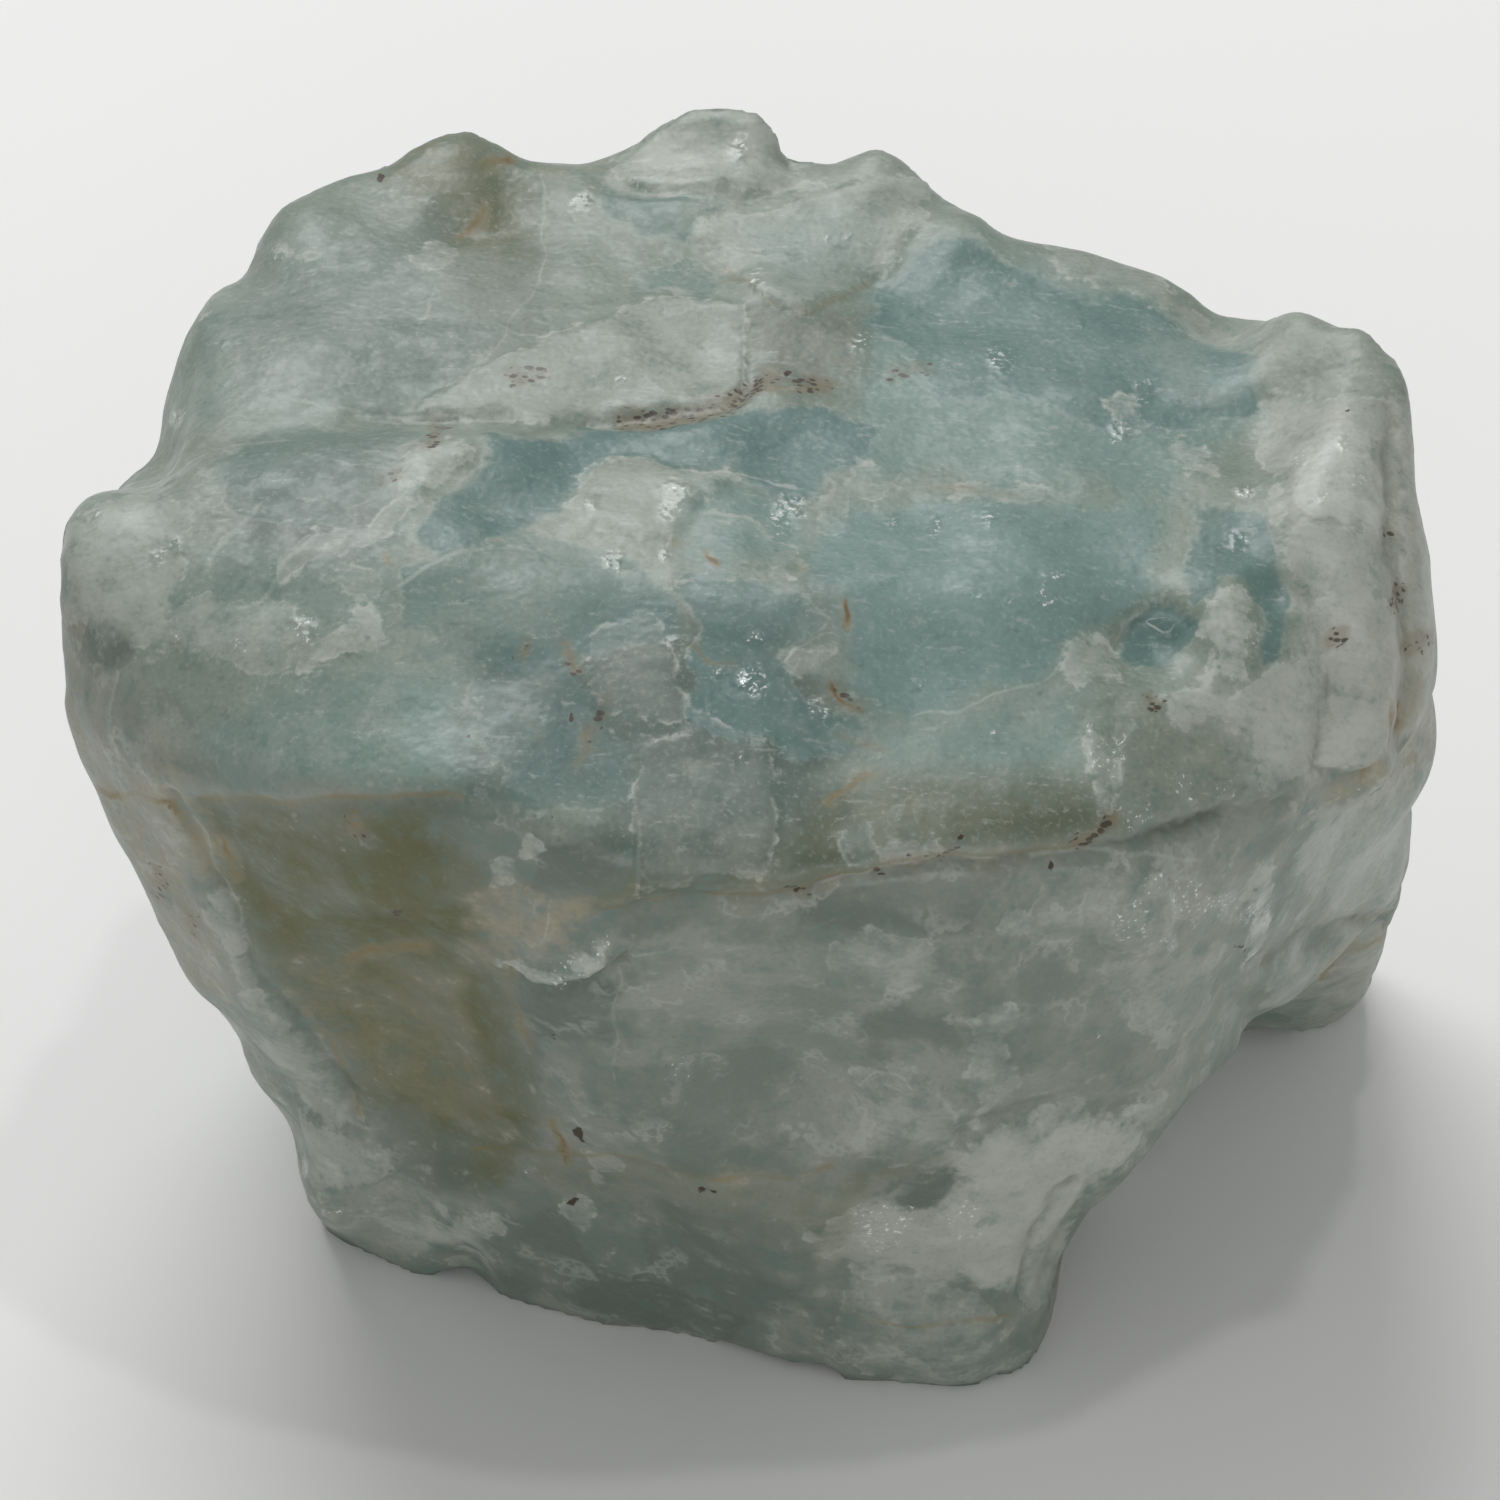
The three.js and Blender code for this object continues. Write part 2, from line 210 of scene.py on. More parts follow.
def depthInside(outline):
    # How far inside a closed outline each point lies, in mm; negative outside
    inside = np.zeros(len(pixels), bool)
    for (x0, y0), (x1, y1) in zip(outline, outline[1:] + outline[:1]):
        crosses = (pixels[:, 1] < y0) != (pixels[:, 1] < y1)
        if y0 != y1:
            edge = x0 + (pixels[:, 1] - y0) / (y1 - y0) * (x1 - x0)
            inside ^= crosses & (pixels[:, 0] < edge)
    distance = lineDistance(outline + outline[:1])
    return np.where(inside, distance, -distance)


# Veils: milky white sheets in the stone. Each patch in this table and the next seven has its strength
# and its outline in pixels.
veils = {
    "tongue": (0.4, [
        (414, 415), (466, 420), (496, 415), (534, 424), (607, 416), (650, 418), (729, 407), (750, 381),
        (741, 343), (750, 304), (664, 296), (600, 320), (540, 345), (480, 365), (430, 395)]),
    "tongueCore": (0.65, [
        (600, 415), (625, 375), (650, 340), (700, 315), (745, 310), (738, 345), (748, 380), (725, 403),
        (670, 414)]),
    "crownPlate": (0.5, [
        (613, 160), (643, 125), (707, 100), (760, 100), (775, 129), (788, 150), (795, 184), (754, 184),
        (677, 180), (626, 177)]),
    "crownPlateEnd": (0.55, [(725, 182), (735, 150), (765, 125), (785, 150), (793, 182)]),
    "palePatch": (0.3, [
        (699, 231), (741, 214), (793, 201), (857, 189), (925, 190), (932, 219), (909, 236), (896, 274),
        (866, 285), (840, 302), (806, 310), (780, 304), (763, 287), (741, 279), (724, 261)]),
    "brightFlake": (0.38, [
        (570, 505), (590, 472), (611, 458), (641, 460), (690, 472), (735, 484), (730, 494), (700, 502),
        (690, 520), (662, 545), (640, 542), (615, 530), (590, 520)]),
    "flakeTail": (0.12, [
        (670, 530), (700, 510), (745, 520), (775, 545), (805, 560), (790, 578), (740, 575), (690, 572),
        (665, 585), (655, 560)]),
    "streakPlate": (0.75, [
        (397, 480), (410, 454), (436, 446), (466, 443), (476, 454), (449, 471), (427, 497),
        (401, 501)]),
    "streakPlateLow": (0.65, [(430, 492), (410, 512), (385, 535), (368, 538), (380, 515), (405, 498)]),
    "leftStreak": (0.4, [
        (316, 528), (345, 540), (320, 555), (300, 570), (282, 592), (266, 606), (262, 588),
        (285, 560)]),
    "leftPatch": (0.35, [(324, 575), (355, 560), (385, 570), (376, 592), (345, 596)]),
    "leftSpot": (0.8, [(335, 622), (355, 612), (378, 615), (376, 632), (350, 634)]),
    "leftBand": (0.45, [(280, 640), (330, 635), (385, 642), (370, 655), (300, 652)]),
    "leftLowSpot": (0.6, [(140, 660), (158, 650), (160, 672), (146, 680)]),
    "crownSpot": (0.5, [(570, 190), (588, 184), (602, 200), (598, 218), (580, 222), (568, 206)]),
    "hollowCrumbs": (0.8, [(478, 205), (490, 190), (500, 200), (488, 214)]),
    "rimStreak": (0.45, [(286, 252), (320, 250), (362, 256), (358, 268), (320, 264), (290, 262)]),
    "kneeStreak": (0.5, [(406, 256), (430, 244), (452, 246), (445, 262), (418, 268)]),
    "farPatch": (0.55, [(1112, 405), (1135, 402), (1148, 425), (1126, 428)]),
    "creamPatch": (0.75, [(1168, 440), (1195, 446), (1225, 462), (1222, 482), (1190, 476), (1172, 465)]),
    "fieldEdge": (0.35, [
        (827, 494), (857, 470), (900, 478), (964, 482), (1011, 487), (1055, 484), (1040, 497),
        (960, 494), (890, 492), (860, 500), (845, 525), (830, 540), (806, 530)]),
    "columnTop": (0.25, [(1262, 400), (1300, 395), (1380, 400), (1400, 440), (1300, 436), (1270, 440)]),
    "columnWhite": (1.0, [
        (1300, 438), (1329, 414), (1371, 416), (1381, 479), (1386, 514), (1379, 529), (1343, 523),
        (1307, 523), (1289, 486)]),
    "columnMiddle": (0.4, [
        (1285, 520), (1340, 524), (1385, 530), (1382, 592), (1343, 596), (1311, 602), (1290, 580),
        (1278, 545)]),
    "columnSide": (0.4, [
        (1255, 400), (1275, 395), (1290, 440), (1284, 500), (1290, 560), (1280, 565), (1268, 500)]),
    "finger": (0.6, [
        (1314, 600), (1343, 593), (1386, 589), (1404, 621), (1407, 657), (1396, 696), (1393, 732),
        (1379, 761), (1350, 775), (1318, 768), (1321, 725), (1325, 679), (1314, 636)]),
    # The right strip is painted highlight: light glancing along the right edge
    "rightStrip": (0.7, [(1400, 395), (1450, 395), (1470, 560), (1480, 700), (1425, 700), (1408, 600)]),
    "sideFlake": (0.9, [
        (1214, 602), (1238, 584), (1252, 600), (1249, 640), (1252, 690), (1234, 684), (1210, 660),
        (1200, 630)]),
    "aboveLens": (0.55, [
        (1160, 690), (1229, 698), (1262, 672), (1307, 660), (1320, 725), (1307, 768), (1271, 810),
        (1254, 793), (1246, 750), (1221, 727), (1186, 729)]),
    "pinkBlob": (0.35, [
        (1065, 650), (1085, 636), (1110, 640), (1125, 660), (1116, 682), (1085, 682), (1068, 672)]),
    "lensSide": (0.35, [
        (1086, 720), (1104, 740), (1120, 765), (1122, 800), (1104, 808), (1092, 780), (1084, 750)]),
    "shoulderPatch": (0.2, [
        (600, 632), (650, 620), (684, 640), (682, 720), (640, 735), (600, 722), (580, 680)]),
    "scallops": (0.35, [
        (780, 668), (792, 650), (812, 640), (836, 655), (838, 690), (812, 686), (795, 680)]),
    "underPlate": (0.14, [
        (643, 740), (700, 728), (771, 735), (775, 800), (760, 866), (700, 880), (641, 895),
        (636, 820)]),
    "seamWhite": (0.5, [(883, 845), (900, 834), (939, 838), (942, 856), (900, 864), (880, 862)]),
    "hollowSide": (0.5, [(487, 862), (505, 848), (534, 842), (530, 860), (508, 878), (492, 882)]),
    "shelfFlake": (0.8, [
        (508, 962), (549, 966), (592, 950), (604, 932), (624, 950), (596, 972), (557, 988),
        (526, 980)]),
    "stripWhite": (0.45, [(200, 896), (222, 890), (238, 905), (246, 958), (226, 950), (205, 925)]),
    "leftStrip": (0.3, [
        (236, 950), (249, 960), (270, 1020), (321, 1037), (339, 1071), (351, 1130), (320, 1125),
        (285, 1080), (240, 1010)]),
    "heelFlake": (0.4, [
        (290, 1110), (335, 1125), (377, 1149), (390, 1172), (364, 1186), (330, 1205), (305, 1180)]),
    "lowFacet": (0.5, [(380, 1215), (440, 1205), (496, 1212), (486, 1260), (420, 1262)]),
    "mottle": (0.25, [(826, 940), (870, 925), (930, 935), (945, 975), (900, 992), (840, 985)]),
    "lobe": (0.5, [(986, 915), (997, 896), (1018, 896), (1029, 912), (1024, 930), (1002, 936)]),
    "lobedPatch": (0.14, [
        (1022, 900), (1035, 868), (1100, 862), (1164, 864), (1170, 950), (1110, 955), (1090, 930),
        (1050, 936), (1028, 925)]),
    "sidePatch": (0.25, [
        (1090, 960), (1170, 950), (1225, 935), (1200, 1010), (1165, 1050), (1120, 1020)]),
    "lobesBelow": (0.35, [
        (976, 1005), (1000, 998), (1015, 1015), (1008, 1035), (1014, 1080), (990, 1106), (964, 1090),
        (966, 1045)]),
    "innerPatch": (0.3, [
        (858, 1075), (900, 1060), (950, 1080), (963, 1142), (945, 1162), (880, 1165), (850, 1140)]),
    "noseFlake": (0.4, [
        (963, 1142), (986, 1124), (1031, 1120), (1059, 1106), (1082, 1106), (1104, 1120), (1155, 1100),
        (1123, 1170), (1091, 1206), (1068, 1252), (1050, 1312), (1018, 1321), (1013, 1298), (981, 1289),
        (940, 1257), (931, 1238), (940, 1202), (967, 1188)]),
    "noseGlitter": (0.65, [(940, 1200), (960, 1182), (985, 1190), (988, 1240), (962, 1252), (942, 1240)]),
    "noseLeft": (0.35, [
        (806, 1232), (850, 1210), (905, 1214), (935, 1240), (930, 1270), (880, 1262), (835, 1255)]),
    "edgeStrip": (0.7, [(1240, 960), (1246, 905), (1262, 875), (1282, 862), (1268, 905), (1254, 955)]),
    "smallOval": (1.0, [(596, 1260), (606, 1253), (622, 1257), (618, 1266)]),
    "lowOval": (0.4, [(566, 1206), (580, 1204), (597, 1240), (588, 1250)]),
    "lowSpot": (0.4, [(590, 1164), (612, 1158), (622, 1172), (598, 1180)]),
    "leftTip": (0.35, [(62, 540), (100, 492), (160, 470), (190, 520), (180, 600), (110, 640), (66, 610)]),
    "leftSparkle": (0.4, [
        (130, 600), (200, 590), (300, 600), (320, 650), (260, 670), (190, 660), (140, 640)]),
    # The right flank patch is painted light on the lower right side
    "rightFlank": (0.5, [
        (1300, 810), (1350, 800), (1420, 770), (1425, 840), (1398, 905), (1330, 905), (1290, 860)]),
    "noseBase": (0.25, [
        (850, 1262), (930, 1275), (985, 1295), (1010, 1330), (1030, 1360), (900, 1390), (830, 1340)]),
    "rightRim": (0.25, [
        (1034, 232), (1120, 252), (1190, 285), (1240, 312), (1225, 335), (1180, 318), (1120, 290),
        (1050, 262)]),
    "footPale": (0.35, [(1270, 960), (1310, 930), (1390, 920), (1385, 990), (1330, 1015), (1270, 1015)]),
}

# Plates: the veils that also stand up as thin sheets, with their height in mm
plates = {
    "tongue": 0.3, "crownPlate": 0.3, "palePatch": 0.25, "brightFlake": 0.3, "flakeTail": 0.15,
    "streakPlate": 0.2, "streakPlateLow": 0.1, "leftStreak": 0.1, "crownSpot": 0.05,
    "columnWhite": 0.04, "sideFlake": 0.15, "aboveLens": 0.15, "pinkBlob": 0.1, "lensSide": 0.15,
    "shoulderPatch": 0.05, "scallops": 0.1, "underPlate": 0.15, "hollowSide": 0.1, "shelfFlake": 0.3,
    "stripWhite": 0.1, "leftStrip": 0.1, "heelFlake": 0.35, "lobe": 0.25, "lobedPatch": 0.25,
    "sidePatch": 0.1, "lobesBelow": 0.15, "innerPatch": 0.15, "noseFlake": 0.35, "noseLeft": 0.15,
    "edgeStrip": 0.1, "smallOval": 0.2, "lowOval": 0.1,
}

# Windows: clearer, deeper teal stone between the veils
windows = {
    "topRight": (0.9, [
        (896, 285), (909, 245), (950, 240), (1000, 262), (1080, 290), (1140, 300), (1214, 330),
        (1246, 350), (1258, 375), (1256, 415), (1200, 420), (1160, 425), (1110, 430), (1060, 400),
        (980, 400), (930, 380), (880, 330), (866, 300)]),
    "topMiddle": (1.15, [
        (480, 432), (534, 432), (607, 426), (690, 424), (740, 412), (793, 403), (850, 415), (880, 435),
        (840, 476), (790, 505), (740, 478), (680, 464), (610, 452), (585, 470), (560, 512), (500, 540),
        (440, 560), (400, 545), (440, 505), (480, 465)]),
    "leftTop": (0.45, [
        (200, 470), (280, 425), (350, 420), (430, 428), (400, 455), (385, 500), (340, 520), (300, 525),
        (240, 520)]),
    "shoulder": (0.95, [
        (677, 580), (720, 576), (771, 580), (800, 595), (826, 620), (810, 640), (780, 655), (800, 690),
        (830, 705), (870, 730), (850, 760), (780, 745), (729, 735), (690, 720), (684, 660),
        (700, 630)]),
    "middleTop": (0.8, [
        (395, 560), (470, 540), (560, 535), (640, 560), (680, 600), (684, 640), (600, 650), (540, 690),
        (470, 660), (400, 630)]),
    "middleField": (0.5, [
        (470, 680), (560, 650), (590, 700), (640, 740), (630, 800), (590, 820), (520, 800),
        (480, 740)]),
    "sliver": (0.9, [(393, 645), (436, 639), (500, 638), (515, 650), (461, 657), (427, 665), (397, 655)]),
    "recess": (1.0, [
        (1119, 626), (1153, 600), (1179, 604), (1191, 630), (1176, 662), (1140, 672), (1112, 655)]),
    "columnTeal": (0.95, [
        (1190, 490), (1215, 500), (1250, 505), (1272, 500), (1279, 564), (1288, 600), (1286, 645),
        (1264, 672), (1256, 630), (1246, 585), (1225, 580), (1195, 600), (1185, 560)]),
    "crown": (0.7, [(600, 180), (660, 188), (741, 196), (690, 215), (692, 250), (640, 235), (600, 215)]),
    "triangle": (0.6, [(643, 280), (686, 252), (726, 285), (705, 300), (656, 292)]),
    "seamGap": (0.6, [(843, 840), (870, 820), (880, 840), (872, 862), (850, 864)]),
}

# Slate: dull grey-green stone under the long seam and below the overhang
slates = {
    "ridgeHollow": (0.85, [
        (517, 882), (543, 855), (586, 838), (622, 826), (632, 844), (607, 876), (564, 893),
        (526, 898)]),
    "slateBlock": (1.15, [
        (519, 985), (560, 990), (600, 975), (617, 978), (613, 1046), (570, 1040), (530, 1044)]),
    "noseWindow": (1.0, [
        (862, 1190), (894, 1175), (949, 1170), (958, 1184), (935, 1210), (903, 1211), (862, 1202)]),
    "lobeWindow": (0.3, [
        (1008, 948), (1045, 941), (1086, 962), (1106, 1001), (1077, 1020), (1022, 1010)]),
    "frontRight": (0.3, [
        (1020, 1020), (1100, 1020), (1150, 1050), (1140, 1090), (1080, 1100), (1020, 1110),
        (1012, 1060)]),
    "foot": (0.9, [(540, 1290), (600, 1268), (680, 1285), (760, 1318), (720, 1350), (600, 1340)]),
    "lowLeft": (0.6, [(500, 1215), (560, 1210), (590, 1250), (620, 1300), (540, 1300), (490, 1280)]),
    "oliveGap": (0.6, [
        (360, 1115), (400, 1100), (460, 1130), (470, 1170), (440, 1195), (395, 1180), (375, 1145)]),
    "underSeam": (0.9, [
        (800, 905), (823, 884), (896, 866), (986, 858), (1030, 858), (1020, 890), (984, 900),
        (980, 940), (930, 935), (870, 925), (830, 945), (790, 930)]),
    "seamLeft": (0.7, [(606, 925), (640, 912), (690, 902), (700, 925), (650, 945), (610, 950)]),
    "middleLow": (0.6, [(860, 1020), (900, 1000), (960, 1010), (962, 1060), (900, 1050), (870, 1065)]),
    "edgeGrey": (0.8, [(70, 640), (84, 622), (110, 625), (128, 645), (122, 668), (90, 672)]),
    "leftGrey": (0.4, [(120, 690), (180, 680), (200, 740), (180, 780), (135, 760)]),
    "front": (0.4, [(640, 1060), (760, 1040), (820, 1080), (830, 1150), (760, 1170), (660, 1150)]),
    "lowFront": (0.5, [(620, 1200), (720, 1205), (790, 1230), (800, 1300), (740, 1320), (650, 1280)]),
}

# Painted shade: broad, soft-edged zones darkened as shade on the shoulder, the bank, the left face and top
# left
paintedShades = {
    "lowShoulder": (0.85, [
        (620, 745), (760, 740), (880, 785), (1080, 795), (1110, 825), (1040, 850), (880, 870),
        (780, 900), (640, 905), (560, 880), (600, 800)]),
    "midShoulder": (0.95, [
        (470, 640), (640, 620), (820, 600), (850, 720), (865, 765), (800, 800), (600, 800),
        (470, 790)]),
    "bank": (0.95, [
        (752, 312), (800, 318), (857, 322), (862, 360), (830, 388), (776, 388), (755, 378),
        (748, 345)]),
    "leftFace": (0.6, [
        (210, 806), (460, 806), (500, 900), (540, 1150), (440, 1190), (350, 1080), (260, 960)]),
    "topLeft": (0.55, [
        (260, 250), (420, 200), (560, 230), (560, 330), (420, 400), (250, 400), (200, 340)]),
    "leftField": (1.0, [(200, 460), (400, 430), (380, 560), (230, 560)]),
}

# Pale zones: broad, soft-edged zones laid lighter: milkier stone on the column, its cap and the crown,
# and painted light on the nose, the heel, the right flank and the underside, where these faces are to look
# more lit
milkyAndPaintedLight = {
    "column": (0.85, [
        (1262, 400), (1300, 400), (1400, 390), (1460, 480), (1480, 700), (1400, 780), (1310, 790),
        (1250, 780), (1180, 720), (1200, 690), (1290, 660), (1270, 500)]),
    "columnCap": (0.45, [(1262, 330), (1330, 310), (1400, 350), (1410, 400), (1262, 400)]),
    "rightFlank": (0.35, [(1300, 790), (1440, 700), (1430, 850), (1395, 960), (1340, 960), (1290, 880)]),
    "leftTip": (0.42, [(60, 540), (100, 480), (170, 440), (230, 420), (230, 520), (180, 620), (80, 620)]),
    "nose": (0.95, [
        (830, 1200), (930, 1170), (980, 1130), (1110, 1110), (1150, 1130), (1060, 1260), (1030, 1300),
        (900, 1280), (820, 1250)]),
    "heel": (0.45, [
        (290, 1110), (350, 1120), (390, 1160), (480, 1205), (490, 1265), (380, 1265), (310, 1200)]),
    "frontRight": (0.22, [
        (1000, 930), (1100, 880), (1240, 870), (1260, 940), (1150, 1090), (1030, 1110), (990, 1020)]),
    "crown": (0.35, [(613, 160), (700, 95), (780, 120), (930, 180), (850, 200), (640, 185)]),
    "leftStrip": (0.5, [
        (185, 850), (235, 880), (262, 980), (300, 1040), (330, 1090), (280, 1080), (215, 960)]),
    "underside": (0.35, [
        (1240, 960), (1290, 900), (1290, 960), (1220, 1050), (1140, 1150), (1100, 1180), (1160, 1080)]),
    "frontMiddle": (0.25, [
        (640, 940), (820, 930), (960, 960), (980, 1100), (860, 1150), (680, 1150), (630, 1050)]),
    "rightRim": (0.3, [(1034, 225), (1120, 245), (1240, 305), (1250, 350), (1150, 310), (1040, 270)]),
}

# Light, smooth blue stone
blues = {
    "rightField": (1.0, [
        (806, 523), (850, 500), (960, 496), (1174, 498), (1170, 544), (1157, 591), (1106, 630),
        (1063, 651), (1054, 669), (1020, 686), (986, 694), (951, 720), (917, 724), (874, 716),
        (840, 681), (836, 643), (827, 600), (806, 579)]),
    "belowField": (0.7, [
        (870, 720), (950, 722), (1030, 690), (1084, 690), (1090, 770), (1000, 778), (900, 775),
        (850, 760)]),
    "middleField": (0.7, [
        (380, 665), (470, 660), (560, 650), (700, 700), (790, 740), (790, 800), (700, 800), (560, 800),
        (420, 790), (230, 790), (200, 740), (260, 690)]),
    "flakeEnd": (0.9, [(690, 478), (790, 488), (806, 540), (790, 568), (710, 578), (675, 548)]),
    "topLeft": (0.45, [
        (200, 310), (300, 230), (420, 260), (480, 330), (440, 410), (200, 430), (160, 400)]),
    "farTop": (0.55, [(740, 230), (800, 215), (880, 215), (870, 280), (800, 300), (760, 275)]),
    "rightTop": (0.8, [
        (860, 300), (930, 240), (1100, 270), (1250, 340), (1262, 420), (1190, 480), (1180, 500),
        (860, 480), (850, 400)]),
    "leftTop": (0.4, [(90, 480), (200, 450), (400, 440), (420, 520), (390, 640), (200, 640), (80, 560)]),
}

# Olive stain soaked into the stone
olives = {
    "leftFace": (1.0, [
        (200, 806), (300, 810), (430, 806), (480, 870), (500, 950), (520, 1040), (548, 1130),
        (500, 1190), (440, 1180), (385, 1120), (345, 1060), (262, 960), (215, 880)]),
    "crownKnob": (0.75, [
        (380, 172), (414, 140), (453, 125), (483, 138), (520, 155), (545, 180), (539, 261), (504, 272),
        (453, 249), (449, 214), (419, 193)]),
    "lens": (0.1, [
        (1121, 705), (1164, 712), (1179, 734), (1221, 728), (1248, 752), (1243, 782), (1214, 813),
        (1171, 823), (1129, 818), (1112, 779)]),
    "seamTop": (0.75, [
        (830, 790), (900, 780), (1084, 782), (1100, 820), (1060, 846), (960, 852), (850, 875),
        (770, 895), (700, 890), (640, 905), (560, 910), (640, 870), (760, 860)]),
    "lowMiddle": (0.5, [
        (480, 1145), (560, 1150), (640, 1162), (760, 1182), (840, 1172), (830, 1230), (760, 1240),
        (640, 1200), (540, 1190)]),
    "noseYellow": (0.8, [
        (800, 1230), (836, 1188), (860, 1165), (945, 1160), (940, 1172), (880, 1180), (860, 1205),
        (845, 1260), (820, 1255)]),
}

# Tan and peach stain along the weathered edges
tans = {
    "crownEdge": (0.5, [(540, 160), (600, 158), (610, 172), (560, 176)]),
    "knobBase": (0.5, [(450, 200), (500, 190), (510, 230), (480, 262), (452, 240)]),
    "greyBank": (0.4, [
        (746, 312), (800, 316), (857, 320), (860, 360), (830, 392), (770, 398), (752, 380),
        (745, 345)]),
    "leftSeam": (0.85, [
        (160, 735), (175, 745), (190, 790), (215, 840), (222, 875), (205, 880), (185, 840), (168, 800),
        (95, 795), (100, 782), (155, 780)]),
    "leftEdge": (0.6, [(60, 615), (80, 618), (84, 660), (110, 700), (120, 760), (90, 760), (60, 700)]),
    "stripEdge": (0.75, [
        (95, 800), (150, 800), (190, 860), (225, 950), (240, 1010), (190, 980), (140, 900)]),
    "middleFace": (0.4, [
        (265, 960), (380, 962), (470, 965), (480, 1060), (510, 1130), (440, 1120), (360, 1080),
        (300, 1020)]),
    "peach": (1.0, [
        (467, 920), (490, 895), (540, 885), (586, 892), (600, 915), (560, 950), (510, 962),
        (475, 950)]),
    "ridgeBank": (0.7, [(590, 905), (640, 860), (640, 905), (760, 885), (760, 900), (600, 925)]),
    "columnEdge": (0.85, [
        (1395, 600), (1440, 640), (1445, 720), (1400, 790), (1340, 800), (1290, 815), (1330, 780),
        (1385, 765), (1398, 700)]),
    "finger": (0.8, [
        (1330, 620), (1385, 600), (1400, 660), (1385, 740), (1350, 770), (1325, 740), (1330, 680)]),
    "rightStrip": (0.8, [(1400, 400), (1425, 400), (1450, 640), (1410, 660), (1402, 520)]),
    "seamBand": (0.45, [
        (640, 900), (700, 888), (800, 888), (896, 856), (990, 846), (1071, 840), (1106, 815),
        (1127, 808), (1127, 824), (1106, 838), (1071, 860), (990, 867), (896, 878), (830, 898),
        (800, 908), (700, 912), (640, 922)]),
    "footSpot": (0.5, [(1315, 985), (1335, 945), (1390, 922), (1392, 985), (1345, 1010)]),
    "lowSpot": (0.8, [(722, 1180), (740, 1176), (750, 1188), (730, 1194)]),
    "noseSeam": (0.45, [(840, 1300), (900, 1312), (1010, 1312), (1010, 1330), (880, 1332)]),
    "knobTop": (0.3, [(380, 172), (414, 138), (453, 124), (483, 136), (500, 190), (420, 196)]),
    "lens": (0.3, [
        (1121, 705), (1164, 712), (1221, 728), (1248, 752), (1243, 782), (1171, 823), (1112, 779)]),
    "leftMiddle": (0.15, [(230, 680), (400, 690), (400, 780), (240, 780)]),
    "underSliver": (0.3, [(290, 636), (372, 640), (368, 660), (300, 658)]),
}

# Cracks and seams that carry rust: strength, width in mm, and route in pixels
rustLines = {
    "seam": (0.45, 0.15, [
        (600, 917), (639, 908), (699, 896), (746, 900), (801, 896), (823, 880), (896, 863), (986, 853),
        (1071, 849), (1106, 822), (1127, 808)]),
    "shoulderSeam": (0.6, 0.21, [(200, 800), (290, 806), (350, 801), (414, 798), (461, 797)]),
    "ochreStreak": (0.8, 0.29, [(347, 960), (373, 953), (399, 949), (433, 949)]),
    "leftCrack": (0.9, 0.21, [(100, 790), (136, 797), (170, 805), (196, 840), (213, 866)]),
    "leftCrackLow": (0.85, 0.17, [(221, 836), (232, 860), (239, 879)]),
    "fuzzLine": (0.65, 0.19, [(300, 1015), (326, 1037), (347, 1080), (356, 1114)]),
    "uprightRidge": (0.7, 0.15, [(508, 970), (519, 1029), (536, 1046)]),
    "uprightLow": (0.9, 0.21, [(552, 1120), (560, 1145), (566, 1160)]),
    "lowSeam": (0.5, 0.17, [
        (471, 1149), (536, 1149), (587, 1157), (639, 1161), (664, 1174), (729, 1182), (775, 1179),
        (839, 1170)]),
    "shoulderRust": (1.0, 0.17, [(834, 688), (848, 702), (861, 711)]),
    "shoulderTan": (0.75, 0.25, [(844, 735), (860, 742), (887, 750)]),
    "shoulderRustLow": (0.85, 0.21, [(880, 772), (853, 782), (840, 795), (825, 803)]),
    "fieldRust": (0.95, 0.19, [(849, 600), (850, 612), (844, 630)]),
    "flakeSpot": (1.0, 0.3, [(677, 541), (682, 549)]),
    "flakeRust": (0.95, 0.28, [(708, 556), (716, 563)]),
    "flakeEnd": (0.8, 0.22, [(800, 568), (809, 572)]),
    "tealRust": (0.55, 0.17, [(690, 640), (694, 648), (705, 664), (741, 664)]),
    "dendriteLeft": (0.9, 0.1, [(564, 640), (570, 655), (576, 670)]),
    "dendriteFar": (0.6, 0.1, [(524, 642), (520, 652)]),
    "dendriteLow": (0.9, 0.1, [(586, 732), (590, 746), (573, 766)]),
    "dendriteSide": (0.55, 0.1, [(520, 710), (534, 725), (536, 742)]),
    "noseSeam": (0.5, 0.15, [(867, 1321), (940, 1325), (1008, 1320)]),
    "columnOrange": (1.0, 0.4, [(1397, 702), (1396, 718), (1397, 732)]),
    "columnGold": (0.8, 0.21, [(1356, 786), (1368, 772), (1380, 765)]),
    "footLine": (0.8, 0.15, [(1322, 980), (1340, 955), (1386, 932)]),
    "crownRust": (1.0, 0.27, [(484, 170), (500, 163), (513, 160)]),
    "crownHollow": (0.8, 0.34, [(485, 208), (475, 220), (461, 238)]),
    "palePatchEdge": (0.35, 0.19, [
        (712, 255), (729, 276), (754, 285), (771, 302), (789, 313), (831, 305), (866, 286)]),
    "fieldTop": (0.55, 0.13, [(930, 488), (964, 490), (1011, 491)]),
    "olivePoint": (0.9, 0.17, [(350, 822), (360, 830)]),
    "tongueEdge": (0.35, 0.25, [
        (614, 420), (656, 424), (700, 418), (729, 408), (748, 392), (780, 388), (826, 386)]),
    "leftFleck": (0.8, 0.21, [(384, 556), (390, 560)]),
}

